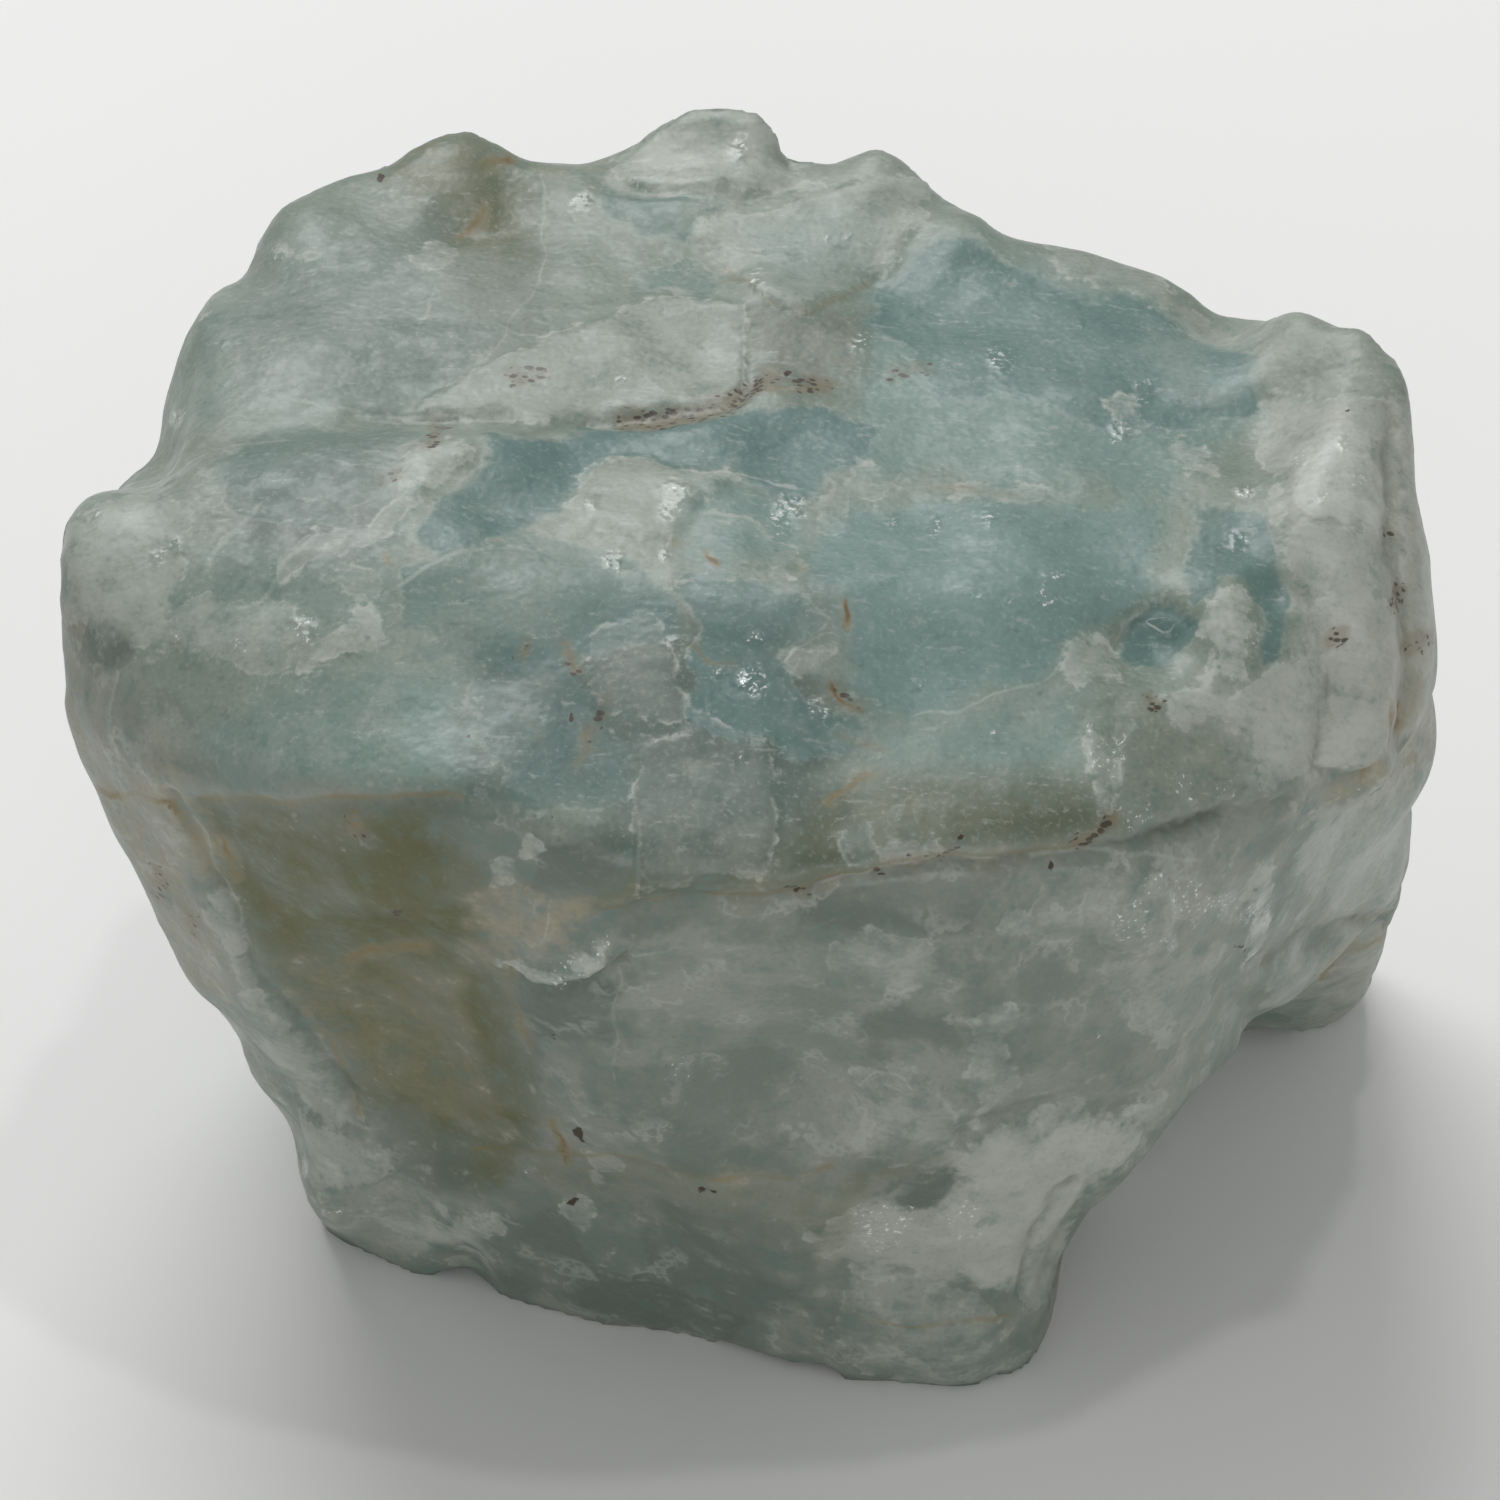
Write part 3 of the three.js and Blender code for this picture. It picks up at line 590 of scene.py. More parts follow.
# White threads: thin milky lines in the stone, laid out as the cracks are
threads = {
    "leftDiagonal": (0.4, 0.17, [(262, 600), (285, 568), (318, 530)]),
    "leftDiagonalFar": (0.36, 0.2, [(205, 570), (228, 540), (256, 506)]),
    "leftLong": (0.44, 0.15, [(385, 590), (430, 562), (490, 548), (540, 545)]),
    "crownVertical": (0.3, 0.1, [(543, 180), (544, 230), (539, 280), (500, 335), (483, 360)]),
    "crownVerticalTwo": (0.32, 0.12, [(436, 288), (425, 310), (414, 332)]),
    "tongueLine": (0.36, 0.1, [(281, 399), (350, 408), (414, 416), (466, 420)]),
    "shelfLine": (0.4, 0.08, [(621, 959), (645, 953), (674, 949)]),
    "plateSide": (0.25, 0.15, [(639, 815), (641, 850), (640, 893)]),
    "blockSide": (0.2, 0.1, [(619, 965), (616, 1020), (612, 1080)]),
    "peachLine": (0.25, 0.1, [(549, 898), (550, 920), (546, 946)]),
    "leftUpright": (0.32, 0.15, [(119, 670), (117, 710), (123, 755)]),
    "fieldRim": (0.4, 0.12, [(920, 716), (960, 712), (1000, 695), (1058, 668)]),
    "recessRim": (0.2, 0.1, [(1112, 650), (1125, 622), (1153, 598), (1180, 603)]),
    "recessCurl": (0.9, 0.08, [(1148, 622), (1160, 626), (1172, 622)]),
    "scallopTop": (0.3, 0.1, [(782, 665), (795, 648), (815, 636), (838, 640)]),
    "seamWhite": (0.35, 0.12, [(820, 888), (880, 868), (940, 858), (1000, 854)]),
    "seamRight": (0.3, 0.15, [(1033, 856), (1090, 850), (1140, 854), (1200, 860)]),
    "noseSwirl": (0.25, 0.1, [(858, 1085), (875, 1072), (900, 1074), (912, 1090)]),
    "noseSwirlIn": (0.2, 0.08, [(864, 1098), (880, 1085), (898, 1092)]),
    "noseEdge": (0.48, 0.12, [(1104, 1122), (1155, 1102)]),
    "stripEdge": (0.3, 0.15, [(166, 778), (190, 815), (215, 858), (236, 905)]),
    "fingerEdge": (0.36, 0.12, [(1404, 620), (1408, 660), (1396, 700), (1392, 735)]),
    "tongueSide": (0.56, 0.1, [(750, 306), (741, 343), (750, 381), (728, 406)]),
    "brightEdge": (0.56, 0.1, [(655, 462), (700, 472), (762, 480), (800, 486)]),
}

# Dark flecks: rows of tiny brown and black grains, with strength and route
flecks = {
    "tongueEdge": (1.0, [(620, 420), (656, 424), (700, 418), (728, 409), (750, 392), (775, 378)]),
    "tongueEnd": (0.9, [(800, 384), (828, 388)]),
    "tonguePatch": (0.9, [(512, 380), (540, 376)]),
    "leftPatch": (1.0, [(438, 424), (428, 446)]),
    "leftPatchLow": (0.8, [(398, 477), (382, 482)]),
    "bankRight": (0.7, [(885, 370), (925, 366)]),
    "lensTop": (1.0, [(1146, 690), (1160, 704)]),
    "seamFlecks": (1.0, [(1110, 818), (1094, 834), (1072, 848)]),
    "fingerTop": (1.0, [(1345, 636), (1326, 646)]),
    "stripTop": (0.8, [(1394, 524), (1398, 540)]),
    "stripMiddle": (1.0, [(1402, 585), (1398, 606)]),
    "stripLow": (1.0, [(1412, 650), (1426, 636)]),
    "leftStrip": (0.7, [(156, 870), (160, 895)]),
    "leftStripLow": (0.7, [(190, 922), (193, 935)]),
    "dendriteLeft": (0.75, [(564, 642), (568, 655), (577, 672)]),
    "dendriteFar": (0.7, [(524, 642), (520, 654)]),
    "shoulderTip": (0.7, [(838, 690), (856, 706)]),
    "seamLeft": (0.7, [(790, 898), (822, 888)]),
    "seamMiddle": (0.65, [(880, 866), (960, 852)]),
    "olivePoint": (0.8, [(350, 822), (362, 832)]),
    "dendriteTips": (0.7, [(602, 700), (604, 714), (588, 735)]),
}

# Single dark grains: place and radius in photograph pixels
grains = [
    (578, 1130, 7), (583, 1140, 6), (790, 372, 6), (384, 179, 6), (572, 1202, 6), (704, 1191, 6),
    (713, 1193, 5), (801, 897, 4), (843, 868, 4), (960, 836, 5), (468, 734, 4), (571, 718, 5), (602, 713, 6),
    (1121, 1085, 4), (557, 816, 5), (557, 1035, 5), (1237, 946, 4), (616, 685, 3), (548, 830, 3),
    (1050, 864, 5), (1342, 413, 3), (1336, 763, 3), (628, 648, 4), (608, 668, 4), (622, 882, 4),
    (395, 912, 6)]

# Glitter: grainy places of the break, painted with glinting highlights and given a glossy relief, with the
# radius in pixels
glitter = [
    (677, 500, 22), (668, 518, 12), (590, 508, 9), (612, 560, 12), (667, 558, 9), (789, 506, 20),
    (775, 525, 13), (936, 525, 12), (890, 520, 10), (990, 517, 12), (1052, 580, 13), (1047, 598, 12),
    (1010, 600, 8), (977, 594, 6), (928, 684, 8), (996, 736, 8), (1089, 728, 8), (1118, 742, 10),
    (738, 760, 13), (821, 706, 16), (752, 684, 22), (716, 672, 10), (755, 635, 10), (676, 640, 16),
    (174, 542, 12), (157, 557, 12), (98, 515, 8), (140, 616, 6), (179, 634, 9),
    (240, 646, 12), (300, 630, 22), (581, 202, 16), (617, 384, 6), (452, 458, 5), (280, 254, 10),
    (166, 410, 10), (205, 314, 8), (846, 240, 6), (826, 242, 5), (760, 282, 10), (1245, 492, 11),
    (1235, 540, 16), (1302, 461, 12), (1343, 443, 9), (1354, 479, 12), (1321, 500, 12), (1250, 640, 10),
    (1236, 600, 10), (1107, 757, 22), (1184, 781, 16), (1226, 790, 12), (1140, 812, 22),
    (1187, 800, 10), (1357, 786, 8), (570, 968, 24), (560, 985, 14), (604, 945, 14), (680, 1070, 20),
    (965, 1215, 26), (880, 1224, 30), (905, 1212, 14), (1166, 941, 12), (1130, 915, 24), (1190, 900, 30),
    (1225, 905, 20), (1252, 915, 22), (1250, 960, 16), (1150, 880, 20), (1100, 1037, 6), (300, 1170, 14),
    (335, 1206, 10), (285, 1090, 8), (640, 900, 8), (530, 1170, 8), (1120, 430, 14), (1145, 390, 12),
    (1080, 320, 8), (1000, 360, 20), (860, 340, 14), (740, 150, 16)]

# Fine edges and hollows: depth and width in mm, and route
creases = {
    "tongueFront": (0.3, 0.35, [
        (350, 412), (414, 420), (466, 425), (496, 420), (534, 429), (607, 421), (650, 423), (729, 412),
        (756, 383)]),
    "seam": (0.45, 0.4, [
        (600, 919), (639, 911), (699, 899), (746, 903), (801, 899), (823, 883), (896, 866), (986, 856),
        (1071, 851), (1140, 838), (1220, 819), (1290, 802)]),
    "shoulderSeam": (0.3, 0.4, [(200, 801), (290, 808), (350, 804), (461, 800), (500, 812)]),
    "uprightCrack": (0.25, 0.2, [(624, 960), (619, 1000), (614, 1080)]),
    "columnGroove": (0.45, 0.35, [
        (1300, 596), (1311, 607), (1314, 643), (1325, 679), (1325, 700), (1318, 764), (1343, 779),
        (1371, 775)]),
    "columnRight": (0.4, 0.5, [
        (1392, 400), (1394, 470), (1396, 560), (1408, 610), (1412, 655), (1402, 700), (1398, 750)]),
    "oliveEdge": (0.12, 0.3, [(546, 178), (547, 215), (541, 262), (515, 285)]),
    "crownCrack": (0.25, 0.35, [(600, 182), (677, 186), (741, 196), (793, 188)]),
    "lensRim": (0.3, 0.35, [
        (1118, 705), (1106, 779), (1129, 822), (1171, 827), (1217, 817), (1250, 784)]),
    "recessRim": (0.35, 0.3, [(1114, 652), (1126, 625), (1155, 602), (1178, 606), (1190, 628)]),
    "noseFold": (0.5, 0.4, [(1075, 1180), (1059, 1190), (1033, 1234), (1024, 1289)]),
    "noseFoldOuter": (0.35, 0.4, [(1092, 1185), (1065, 1235), (1045, 1295)]),
    "ridgeShelf": (0.5, 0.35, [(510, 972), (530, 986), (557, 994), (598, 978), (628, 958)]),
    "footGroove": (0.5, 0.6, [(1255, 968), (1300, 945), (1345, 925), (1395, 915)]),
    "leftStrip": (0.45, 0.5, [
        (170, 796), (205, 856), (240, 925), (258, 980), (300, 1030), (345, 1085), (356, 1140)]),
    "leftStreak": (0.15, 0.3, [(268, 604), (292, 572), (330, 540)]),
    "noseTop": (0.3, 0.3, [(960, 1140), (986, 1121), (1059, 1103), (1104, 1116), (1158, 1096)]),
    "lowSeam": (0.2, 0.25, [(471, 1151), (587, 1160), (664, 1177), (775, 1182), (839, 1172)]),
}

# Gentle bulges and hollows of the outline: place and radius in pixels, and height in mm
swells = {
    "leftNotch": ((140, 448), 46, -1.5),
    "leftRim": ((160, 395), 50, -0.35),
    "upperNotch": ((240, 272), 26, -0.9),
    "upperLeft": ((290, 197), 42, 0.8),
    "upperLeftKnob": ((346, 172), 30, 0.35),
    "crownSaddle": ((645, 138), 55, -0.8),
    "crownTop": ((758, 112), 24, 0.6),
    "crownGap": ((791, 160), 16, -0.9),
    "crownRight": ((880, 160), 44, 0.9),
    "crownShoulder": ((975, 213), 40, 0.75),
    "rimNotch": ((1222, 306), 46, -1.25),
    "columnCap": ((1305, 306), 50, 0.5),
    "columnSide": ((1420, 490), 60, -0.5),
    "rightFlank": ((1400, 900), 50, 0.5),
    "noseSide": ((1066, 1262), 60, -0.75),
    "lowNotch": ((462, 1276), 26, -1.0),
    "leftCorner": ((325, 1215), 30, 0.4),
    "leftHeel": ((286, 1130), 50, -0.8),
    "leftStrip": ((230, 1040), 40, -0.4),
    "crownKnob": ((440, 136), 50, 0.35),
    "noseFoot": ((955, 1386), 42, 0.6),
    "noseFootLeft": ((812, 1366), 28, -0.6),
    "footGap": ((1256, 1022), 28, -0.9),
    "recess": ((1157, 636), 26, -0.75),
    "leftBelly": ((66, 725), 60, 1.05),
}

# The broken surface: heights, depths and spans in mm
breakUp = {
    "lumpHeight": 0.08,
    "lumpSpan": 3.6,
    "grainHeight": 0.03,
    "grainSpan": 1.1,
    "chipDepth": 0.25,
    "chipSpan": 5.0,
    "chipEdge": (0.3, 0.38),  # where the noise counts as a chip
    "seenChips": 0.25,  # share of the chips' depth on the sides that the photograph shows
    "plateEdge": 0.25,
}


def fineRelief():
    rise = breakUp["lumpHeight"] * noiseField(places, breakUp["lumpSpan"], 6)
    rise += breakUp["grainHeight"] * noiseField(places, breakUp["grainSpan"], 7)
    chips = smoothStep(noiseField(places, breakUp["chipSpan"], 8), *breakUp["chipEdge"])
    return rise - breakUp["chipDepth"] * chips * (1 - (1 - breakUp["seenChips"]) * seen)


def creaseField():
    field = np.zeros(len(places))
    for depth, width, route in creases.values():
        field += depth * np.exp(-((lineDistance(route) / width) ** 2))
    return field * seen


creased = creaseField()


def placedRelief():
    rise = np.zeros(len(places))
    edge = breakUp["plateEdge"]
    for name, height in plates.items():
        rise += height * smoothStep(depthInside(veils[name][1]), -edge, edge)
    rise = rise * seen - creased
    for place, radius, height in swells.values():
        away = np.linalg.norm(pixels - np.array(place), axis=1) / radius
        rise += height * np.exp(-(away ** 2))
    return rise


def shapeStone():
    shaped = places + normals * (fineRelief() + placedRelief())[:, None]
    shaped[shaped[:, 2] < skin["floorBand"], 2] = 0
    stone.data.vertices.foreach_set("co", (shaped * mm).ravel())
    stone.data.update()


shapeStone()
print("surface broken up")


marking = {
    "farDepth": 6.0,  # mm, past this far outside every patch its mark fades no further
    "farSide": 9,  # line widths
    "coreShare": 0.35,  # share of a line's spread where it shows in full
    "rustSpread": (0.9, 0.35),  # mm to each side of a line and past its ends
    "threadSpread": (0.8, 0.3),
    "fleckSpread": (0.85, 1.2),
    "hiddenStrength": 0.4,
    "hiddenGain": 9,  # mm of depth for each unit of noise
}

# Noise that breaks up the colour everywhere: the span of each layer in mm, its seed and its share
clouding = {
    "cloud": ((9, 31, 1.0), (4.5, 32, 0.5)),
    "edge": ((3.5, 33, 0.9), (1.6, 34, 0.5)),
    "mist": ((2.8, 35, 1.0), (1.4, 36, 0.6)),
    "lobeSpan": 2.4,
    "flat": (0.25, 0.7),  # upward part of the normal on upright and on level faces
}

patchTables = {
    "veil": veils, "window": windows, "slate": slates, "shade": paintedShades,
    "pale": milkyAndPaintedLight, "blue": blues, "olive": olives, "tan": tans,
}

# Where the patches lie on the hidden sides: the noise's span in mm, its seed, and an offset in mm
hiddenPatches = {
    "veil": (8, 11, -2.0),
    "window": (10, 13, -2.2),
    "slate": (12, 14, -3.0),
    "shade": (16, 26, -3.5),
    "pale": (14, 27, -3.5),
    "blue": (17, 20, -1.0),
    "olive": (15, 15, -2.6),
    "tan": (9, 21, -3.2),
}

# Cracks and veins on the hidden sides: the noise's span in mm along each axis, its seed, and their width
hiddenLines = {
    "rust": ((14, 14, 9), 16, 0.03),
    "thread": ((9, 12, 12), 22, 0.02),
}

# Where the lines and flecks show there: span, seed, from which noise, to which, and strength
hiddenReaches = {
    "rust": (6, 17, -0.05, 0.25, 0.8),
    "thread": (5, 23, -0.05, 0.25, 0.7),
    "fleck": (5, 18, 0.42, 0.65, 0.5),
}

# Single grains and glitter there: span, seed, gain and offset
hiddenSpots = {
    "grain": (2.4, 24, 5, -3.75),
    "glitter": (4.5, 19, 3, -1.25),
}


def store(name, placed, hidden):
    # The sides that the photograph doesn't show carry the same marks, laid out by noise
    values = placed * seen + hidden * (1 - seen)
    attribute = stone.data.attributes.new(name, "FLOAT", "POINT")
    attribute.data.foreach_set("value", values.astype(np.float32))


def storePatches(name, patches, hidden):
    depth = np.full(len(places), -marking["farDepth"])
    strength = np.zeros(len(places))
    for patchStrength, outline in patches.values():
        reach = depthInside(outline)
        strength = np.where(reach > depth, patchStrength, strength)
        depth = np.maximum(depth, reach)
    store(name + "Depth", depth, hidden)
    store(name + "Strength", strength, np.full(len(places), marking["hiddenStrength"]))


def nearestLine(strengths, routes, spread, endSpread):
    # For each point: the signed distance to the nearest line, how strongly it shows, and which it is
    offset = np.full(len(places), np.inf)
    reach = np.zeros(len(places))
    which = np.zeros(len(places), int)
    for number, (strength, route) in enumerate(zip(strengths, routes)):
        lineAway = lineOffset(route)
        closer = np.abs(lineAway) < np.abs(offset)
        shown = strength * smoothStep(np.abs(lineAway), spread, spread * marking["coreShare"])
        shown *= smoothStep(pastEnds(route), endSpread, 0)
        offset = np.where(closer, lineAway, offset)
        reach = np.where(closer, shown, reach)
        which = np.where(closer, number, which)
    return offset, reach, which


def hiddenReach(name):
    span, seed, low, high, strength = hiddenReaches[name]
    return strength * smoothStep(noiseField(places, span, seed), low, high)


def storeLines(name, lines):
    # The side is the signed distance in line widths, the reach is how strongly the line shows
    strengths, widths, routes = zip(*lines.values())
    offset, reach, which = nearestLine(strengths, routes, *marking[name + "Spread"])
    span, seed, width = hiddenLines[name]
    farSide = marking["farSide"]
    side = np.clip(offset / np.array(widths)[which], -farSide, farSide)
    store(name + "Side", side, np.clip(noiseField(places, span, seed) / width, -farSide, farSide))
    store(name + "Reach", reach, hiddenReach(name))


def storeFlecks():
    strengths, routes = zip(*flecks.values())
    reach = nearestLine(strengths, routes, *marking["fleckSpread"])[1]
    store("fleckReach", reach, hiddenReach("fleck"))


def storeSpots(name, spots):
    span, seed, gain, offset = hiddenSpots[name]
    share = np.full(len(places), -1.0)
    for across, down, radius in spots:
        away = np.hypot(pixels[:, 0] - across, pixels[:, 1] - down)
        share = np.maximum(share, 1 - away / radius)
    store(name, share, noiseField(places, span, seed) * gain + offset)


def layered(layers):
    return sum(share * noiseField(places, span, seed) for span, seed, share in layers)


def storeClouds():
    lobes = np.array([noise.voronoi(Vector(p))[0][0] for p in places / clouding["lobeSpan"]])
    everywhere = {
        "cloud": layered(clouding["cloud"]),
        "edge": 0.5 - lobes + layered(clouding["edge"]),
        "mist": layered(clouding["mist"]),
        "crease": creased,
        "flat": smoothStep(normals[:, 2], *clouding["flat"]),
    }
    for name, values in everywhere.items():
        store(name, values, values)


def storeMarks():
    for name, patches in patchTables.items():
        span, seed, offset = hiddenPatches[name]
        storePatches(name, patches, marking["hiddenGain"] * noiseField(places, span, seed) + offset)
    storeLines("rust", rustLines)
    storeLines("thread", threads)
    storeFlecks()
    storeSpots("grain", grains)
    storeSpots("glitter", glitter)


storeClouds()
storeMarks()
print("marks stored")

colours = {
    "body": (0.210, 0.263, 0.218),
    "milky": (0.262, 0.314, 0.266),
    "front": (0.152, 0.194, 0.164),
    "frontPale": (0.238, 0.260, 0.222),
    "window": (0.116, 0.202, 0.186),
    "slate": (0.112, 0.142, 0.118),
    "shade": (0.106, 0.147, 0.126),
    "pale": (0.355, 0.375, 0.325),
    "blue": (0.168, 0.272, 0.253),
    "veil": (0.49, 0.52, 0.475),
    "thread": (0.50, 0.53, 0.485),
    # glint: the white of the painted highlights on the glinting grit
    "glint": (0.80, 0.82, 0.80),
    "olive": (0.108, 0.114, 0.046),
    "tan": (0.31, 0.285, 0.200),
    "ochre": (0.215, 0.160, 0.055),
    "rust": (0.15, 0.075, 0.035),
    "crack": (0.075, 0.085, 0.062),
    "umber": (0.18, 0.13, 0.07),
    "fleck": (0.048, 0.032, 0.018),
}

# The patches in the order in which they lie over each other: softness in mm and wobble of their edges
patchEdges = {
    "blue": (1.4, 1.0),
    "shade": (2.2, 1.3),
    "pale": (1.2, 1.6),
    "olive": (1.5, 1.0),
    "slate": (0.4, 1.0),
    "window": (0.25, 0.8),
    "tan": (1.0, 1.1),
}

finish = {
    "roughness": (0.32, 0.52),  # from the smoothest to the roughest places
    "subsurface": 0.2,
    "subsurfaceScale": 1.6,  # mm
    "subsurfaceRadius": (0.8, 1.0, 1.0),
    "ior": 1.5,
    "bumpDistance": 0.055,  # mm
}


def makeMaterial():
    material = bpy.data.materials.new("cloudy_beryl")
    material.use_nodes = True
    tree = material.node_tree
    tree.nodes.clear()

    def connect(node, key, value):
        if isinstance(value, bpy.types.NodeSocket):
            tree.links.new(value, node.inputs[key])
        else:
            node.inputs[key].default_value = value

    def add(kind, inputs=None, **settings):
        made = tree.nodes.new(kind)
        for name, value in settings.items():
            setattr(made, name, value)
        for key, value in (inputs or {}).items():
            connect(made, key, value)
        return made

    def mark(name):
        return add("ShaderNodeAttribute", attribute_name=name).outputs["Fac"]

    def calc(operation, first, second=0.0, third=0.0):
        return add("ShaderNodeMath", {0: first, 1: second, 2: third}, operation=operation).outputs[0]

    def ramp(value, low, high, lowest=0.0, highest=1.0):
        sockets = {"Value": value, "From Min": low, "From Max": high, "To Min": lowest, "To Max": highest}
        return add("ShaderNodeMapRange", sockets, interpolation_type="SMOOTHSTEP").outputs[0]

    def grain(size, detail, roughness, stretch=(1, 1, 1)):
        turn = (0, 0, 0.1)
        mapped = add("ShaderNodeMapping", {"Vector": coordinates, "Scale": stretch, "Rotation": turn})
        sockets = {"Vector": mapped.outputs[0], "Scale": 1 / (size * mm), "Detail": detail}
        return add("ShaderNodeTexNoise", {**sockets, "Roughness": roughness}).outputs["Fac"]

    def cells(size, stretch=(1, 1, 1)):
        mapped = add("ShaderNodeMapping", {"Vector": coordinates, "Scale": stretch})
        return add("ShaderNodeTexVoronoi", {"Vector": mapped.outputs[0], "Scale": 1 / (size * mm)})

    def blend(share, under, over):
        made = add("ShaderNodeMix", {"Factor": share}, data_type="RGBA")
        connect(made, 6, under if isinstance(under, bpy.types.NodeSocket) else (*under, 1))
        connect(made, 7, over if isinstance(over, bpy.types.NodeSocket) else (*over, 1))
        return made.outputs[2]

    def patchShare(name, softness, wobble):
        depth = calc("MULTIPLY_ADD", edgeNoise, wobble, mark(name + "Depth"))
        return calc("MULTIPLY", ramp(depth, -softness, softness), mark(name + "Strength"))

    def lineShare(name, low, high):
        wobble = calc("MULTIPLY_ADD", fine, 3.0, calc("MULTIPLY_ADD", grit, 1.2, mark(name + "Side")))
        away = calc("ABSOLUTE", calc("ADD", wobble, -2.1))
        return calc("MULTIPLY", ramp(away, high, low), mark(name + "Reach"))

    coordinates = add("ShaderNodeTexCoord").outputs["Object"]
    mist = mark("mist")
    cloud = mark("cloud")
    edge = mark("edge")
    fine = grain(1.4, detail=5, roughness=0.66)
    grit = grain(0.3, detail=2, roughness=0.6)
    streaks = grain(0.6, detail=2, roughness=0.6, stretch=(0.25, 1.0, 1.0))
    specks = cells(0.6).outputs["Distance"]
    edgeNoise = calc("ADD", edge, calc("MULTIPLY_ADD", fine, 1.6, calc("MULTIPLY_ADD", specks, -0.5, -0.6)))

    # Body colour with soft clouds, then each kind of mark over it
    clouds = calc("MULTIPLY_ADD", fine, 0.8, calc("MULTIPLY", cloud, 0.5))
    upright = calc("MULTIPLY_ADD", mark("flat"), -1.0, 1.0)
    colour = blend(ramp(clouds, 0.15, 0.75), colours["body"], colours["milky"])
    frontTone = calc("MULTIPLY_ADD", mist, 0.35, calc("MULTIPLY_ADD", cloud, 0.4, fine))
    frontColour = blend(ramp(frontTone, 0.25, 0.78), colours["front"], colours["frontPale"])
    colour = blend(upright, colour, frontColour)
    thinned = {
        "blue": 0.85,
        "olive": ramp(edge, -0.6, 0.6, 1.0, 0.6),
        "slate": ramp(clouds, 0.2, 0.8, 0.95, 0.5),
        "window": ramp(clouds, 0.2, 0.8, 0.95, 0.6),
        "tan": ramp(fine, 0.35, 0.65, 0.25, 0.85),
    }
    for name, (softness, wobble) in patchEdges.items():
        share = patchShare(name, softness, wobble)
        if name in thinned:
            share = calc("MULTIPLY", share, thinned[name])
        colour = blend(share, colour, colours[name])

    # Wisps and dashes all over the stone
    cloudlet = calc("MULTIPLY_ADD", edgeNoise, 0.35, calc("MULTIPLY", cloud, 0.7))
    onTop = calc("MULTIPLY_ADD", mark("flat"), 0.75, 0.25)
    colour = blend(calc("MULTIPLY", ramp(cloudlet, 0.05, 0.5, 0.0, 0.2), onTop), colour, colours["veil"])
    wisps = calc("MULTIPLY_ADD", specks, -0.10, calc("MULTIPLY_ADD", edge, 0.08, fine))
    colour = blend(ramp(wisps, 0.56, 0.70, 0.0, 0.28), colour, colours["veil"])
    colour = blend(ramp(wisps, 0.38, 0.26, 0.0, 0.3), colour, colours["window"])
    dashes = calc("MULTIPLY_ADD", edge, 0.05, calc("MULTIPLY_ADD", grit, 0.3, streaks))
    colour = blend(calc("MULTIPLY", ramp(dashes, 0.77, 0.88, 0.0, 0.24), onTop), colour, colours["veil"])
    colour = blend(calc("MULTIPLY", ramp(dashes, 0.51, 0.40, 0.0, 0.28), onTop), colour, colours["slate"])
    colour = blend(calc("MULTIPLY", ramp(grit, 0.52, 0.75, 0.0, 0.2), onTop), colour, colours["veil"])
    colour = blend(ramp(grit, 0.46, 0.28, 0.0, 0.22), colour, colours["slate"])

    # Crystalline rims in the upright sides
    crystal = calc("ABSOLUTE", calc("ADD", edgeNoise, -0.1))
    crystal = calc("MULTIPLY", ramp(crystal, 0.24, 0.0, 0.0, 0.3), ramp(mist, -0.2, 0.5))
    unstained = calc("MULTIPLY", upright, ramp(mark("oliveDepth"), 0.5, -1.5))
    colour = blend(calc("MULTIPLY", crystal, unstained), colour, colours["veil"])

    # Veils, brightest along their rims
    veilBody = calc("MULTIPLY_ADD", streaks, 0.6, calc("MULTIPLY_ADD", grit, 0.4,
                    calc("MULTIPLY_ADD", mist, 0.2, fine)))
    veilDepth = calc("MULTIPLY_ADD", edgeNoise, 0.9, mark("veilDepth"))
    sheet = calc("MULTIPLY_ADD", ramp(veilDepth, -0.12, 0.12), 0.55, ramp(veilDepth, -0.4, 2.4, 0.0, 0.6))
    veilShare = calc("MULTIPLY", sheet, mark("veilStrength"))
    veilShare = calc("MULTIPLY", veilShare, ramp(veilBody, 0.7, 1.25, 0.35, 1.15))
    colour = blend(veilShare, colour, colours["veil"])
    for name, share in (("veil", 0.6), ("window", 0.35)):
        fromRim = calc("ABSOLUTE", calc("MULTIPLY_ADD", edgeNoise, 0.8, mark(name + "Depth")))
        rim = calc("MULTIPLY", ramp(fromRim, 0.3, 0.0, 0.0, share), ramp(fine, 0.44, 0.62))
        rim = calc("MULTIPLY", rim, calc("MULTIPLY_ADD", upright, -0.5, 1.0))
        colour = blend(rim, colour, colours["thread"])
    colour = blend(calc("MULTIPLY", lineShare("thread", 0.3, 1.3), ramp(fine, 0.4, 0.6, 0.35, 1.0)),
                   colour, colours["thread"])

    # Painted shade and grime in the creases: the colour darkens along them
    creaseGrimeAndShade = calc("MULTIPLY", mark("crease"), fine)
    colour = blend(ramp(creaseGrimeAndShade, 0.06, 0.4, 0.0, 0.6), colour, colours["crack"])

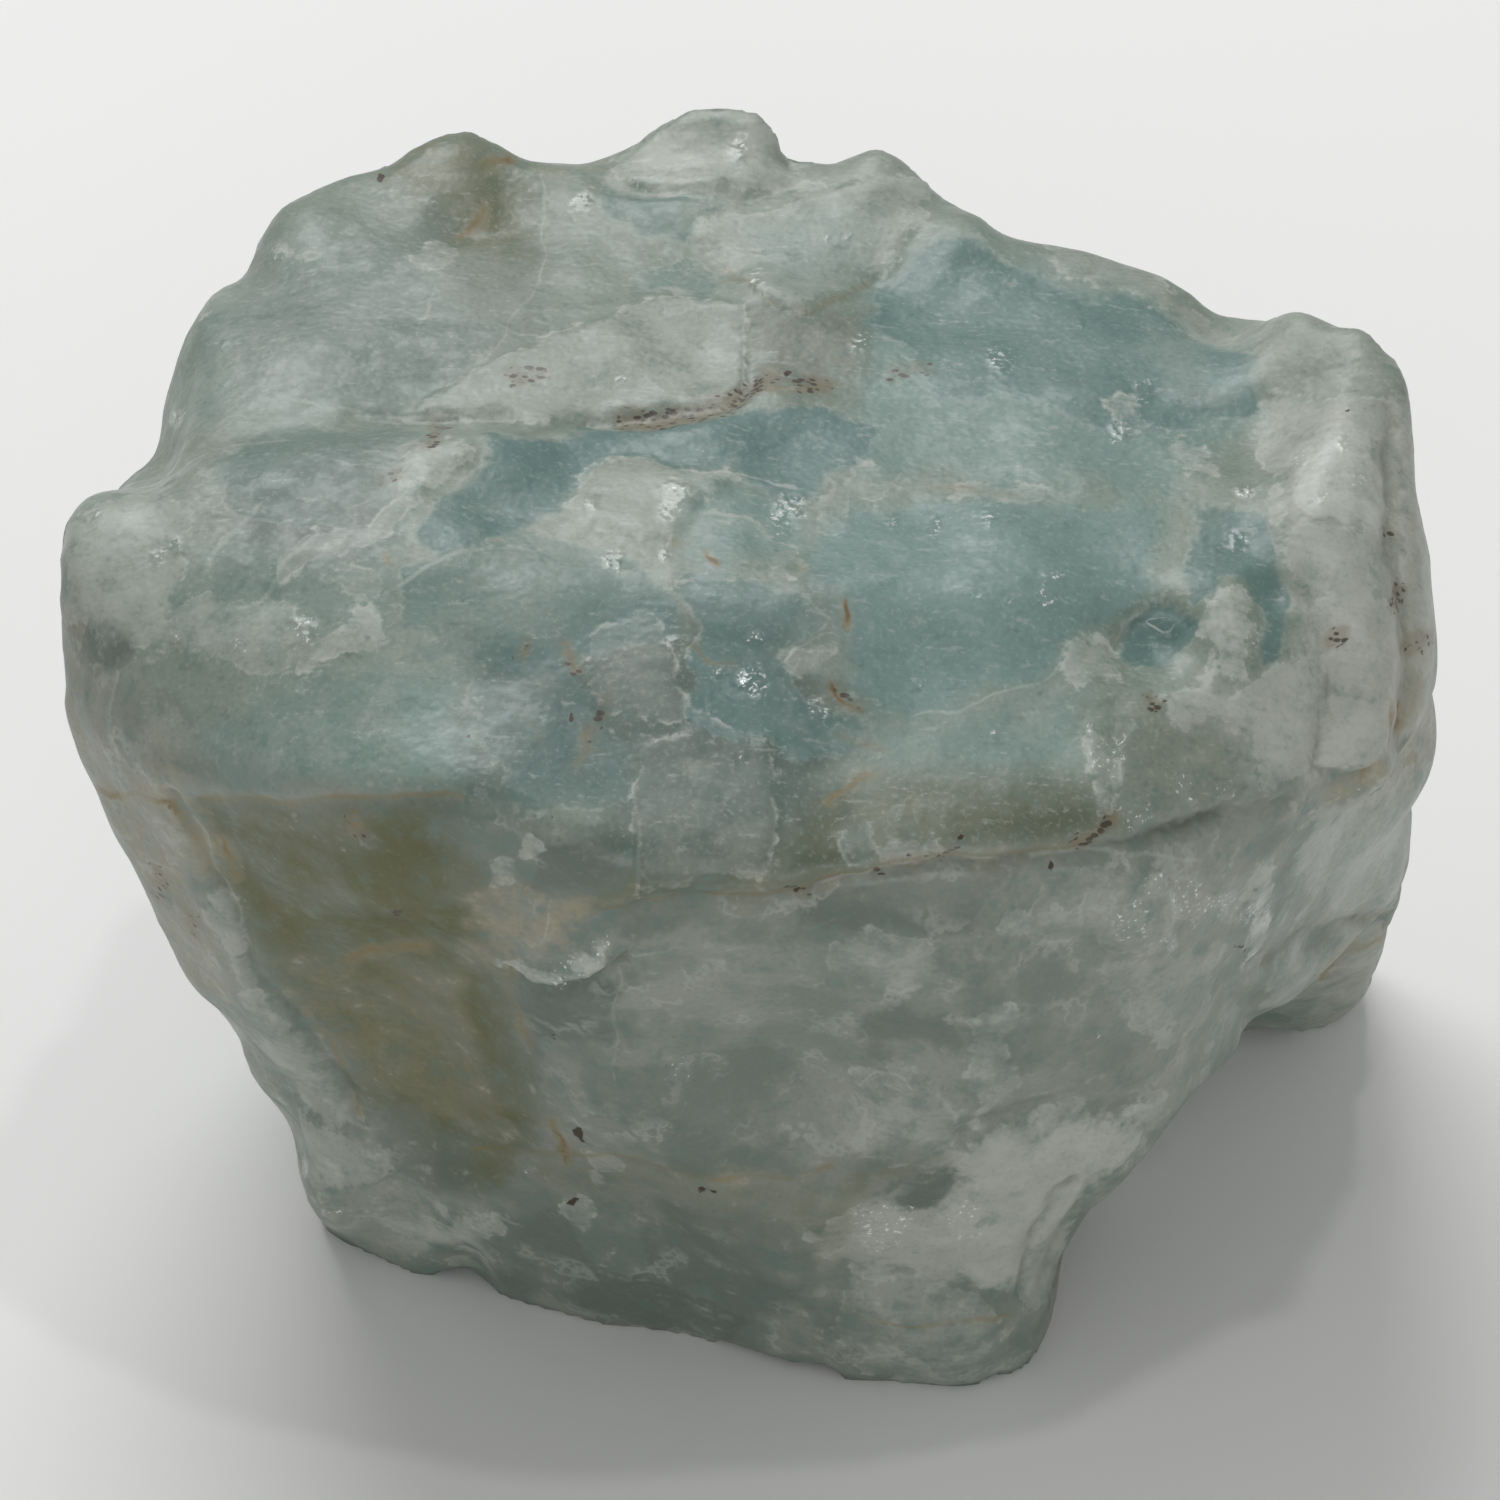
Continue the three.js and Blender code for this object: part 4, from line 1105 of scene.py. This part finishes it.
    # Rust: a soft stain about each crack, a thin line along it, and scattered dark crumbs
    stain = calc("MULTIPLY_ADD", fine, 1.6, mark("rustReach"))
    colour = blend(ramp(stain, 1.1, 1.9, 0.0, 0.3), colour, colours["tan"])
    crack = calc("MULTIPLY", lineShare("rust", 0.3, 1.4), ramp(mist, -0.5, 0.3, 0.25, 1.0))
    colour = blend(calc("MULTIPLY", crack, 0.75), colour, colours["ochre"])
    colour = blend(ramp(crack, 0.68, 1.0, 0.0, 0.55), colour, colours["rust"])
    crumb = cells(0.36, stretch=(0.65, 1.0, 1.0))
    crumbSize = calc("MULTIPLY_ADD", fine, 1.0, crumb.outputs["Distance"])
    crumbNear = calc("MULTIPLY_ADD", crumb.outputs["Color"], 0.9, mark("fleckReach"))
    crumbShare = calc("MULTIPLY", ramp(crumbSize, 0.98, 0.8), ramp(crumbNear, 1.08, 1.22))
    fleckStain = calc("MULTIPLY_ADD", fine, 1.6, mark("fleckReach"))
    colour = blend(ramp(fleckStain, 1.0, 2.1, 0.0, 0.5), colour, colours["umber"])
    colour = blend(calc("MULTIPLY", crumbShare, 0.85), colour, colours["fleck"])
    grainShare = calc("MULTIPLY_ADD", fine, 1.2, mark("grain"))
    colour = blend(ramp(grainShare, 0.75, 0.95), colour, colours["fleck"])

    # Grainy places: white grit painted in as glinting highlights, and a glossy, rougher relief that catches
    # the light
    glitterShare = ramp(calc("MULTIPLY_ADD", fine, 1.4, mark("glitter")), 0.7, 1.2)
    paintedGlints = calc("MULTIPLY", glitterShare, ramp(grit, 0.6, 0.68, 0.05, 0.75))
    colour = blend(paintedGlints, colour, colours["glint"])
    relief = calc("MULTIPLY_ADD", ramp(mark("glitter"), -0.2, 0.8), 1.5, 1.0)
    bump = add("ShaderNodeBump", {
        "Height": calc("MULTIPLY", grain(0.8, detail=1, roughness=0.62), relief), "Strength": 1.0,
        "Distance": finish["bumpDistance"] * mm})

    roughness = ramp(fine, 0.35, 0.65, *finish["roughness"])
    shader = add("ShaderNodeBsdfPrincipled", {
        "Base Color": colour,
        "Roughness": calc("MULTIPLY", roughness, calc("MULTIPLY_ADD", glitterShare, -0.6, 1.0)),
        "IOR": finish["ior"],
        "Subsurface Weight": finish["subsurface"],
        "Subsurface Radius": finish["subsurfaceRadius"],
        "Subsurface Scale": finish["subsurfaceScale"] * mm,
        "Normal": bump.outputs[0],
    })
    shader.subsurface_method = "BURLEY"
    output = add("ShaderNodeOutputMaterial")
    tree.links.new(shader.outputs[0], output.inputs[0])
    return material


stone.data.materials.append(makeMaterial())
for face in stone.data.polygons:
    face.use_smooth = True
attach(stone, "root")
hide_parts("aquamarine")
print("stone finished")

# Floor and light, in metres and watts
studio = {
    "floorSize": 3.0,
    "floorColour": (0.92, 0.92, 0.915),
    "floorRoughness": 0.9,
    "floorGloss": 0.1,
    "aimHeight": 0.03,
    "sky": 0.34,
    "key": {"place": (-0.14, 0.40, 0.62), "size": 0.5, "power": 3.0},
    "fill": {"place": (0.1, -0.8, 0.16), "size": 0.5, "power": 1.6},
    "glint": {"place": (0.10, -0.05, 0.80), "size": 0.04, "power": 0.4},
}


def makeFloor():
    mesh = bpy.data.meshes.new("floor")
    form = bmesh.new()
    bmesh.ops.create_grid(form, x_segments=1, y_segments=1, size=studio["floorSize"])
    form.to_mesh(mesh)
    form.free()
    floor = bpy.data.objects.new("floor", mesh)
    bpy.context.scene.collection.objects.link(floor)
    material = bpy.data.materials.new("floor")
    material.use_nodes = True
    shader = material.node_tree.nodes["Principled BSDF"]
    shader.inputs["Base Color"].default_value = (*studio["floorColour"], 1)
    shader.inputs["Roughness"].default_value = studio["floorRoughness"]
    shader.inputs["Specular IOR Level"].default_value = studio["floorGloss"]
    mesh.materials.append(material)


def makeLight(name, settings):
    data = bpy.data.lights.new(name, "AREA")
    data.shape = "DISK"
    data.size = settings["size"]
    data.energy = settings["power"]
    light = bpy.data.objects.new(name, data)
    light.location = settings["place"]
    aim = Vector((0, 0, studio["aimHeight"])) - Vector(settings["place"])
    light.rotation_euler = aim.to_track_quat("-Z", "Y").to_euler()
    bpy.context.scene.collection.objects.link(light)


def makeStudio():
    makeFloor()
    for name in ("key", "fill", "glint"):
        makeLight(name, studio[name])
    world = bpy.data.worlds.new("studio")
    world.use_nodes = True
    background = world.node_tree.nodes["Background"]
    background.inputs["Color"].default_value = (1, 1, 1, 1)
    background.inputs["Strength"].default_value = studio["sky"]
    bpy.context.scene.world = world
    bpy.context.scene.view_settings.view_transform = "Standard"


makeStudio()
print("studio lit")
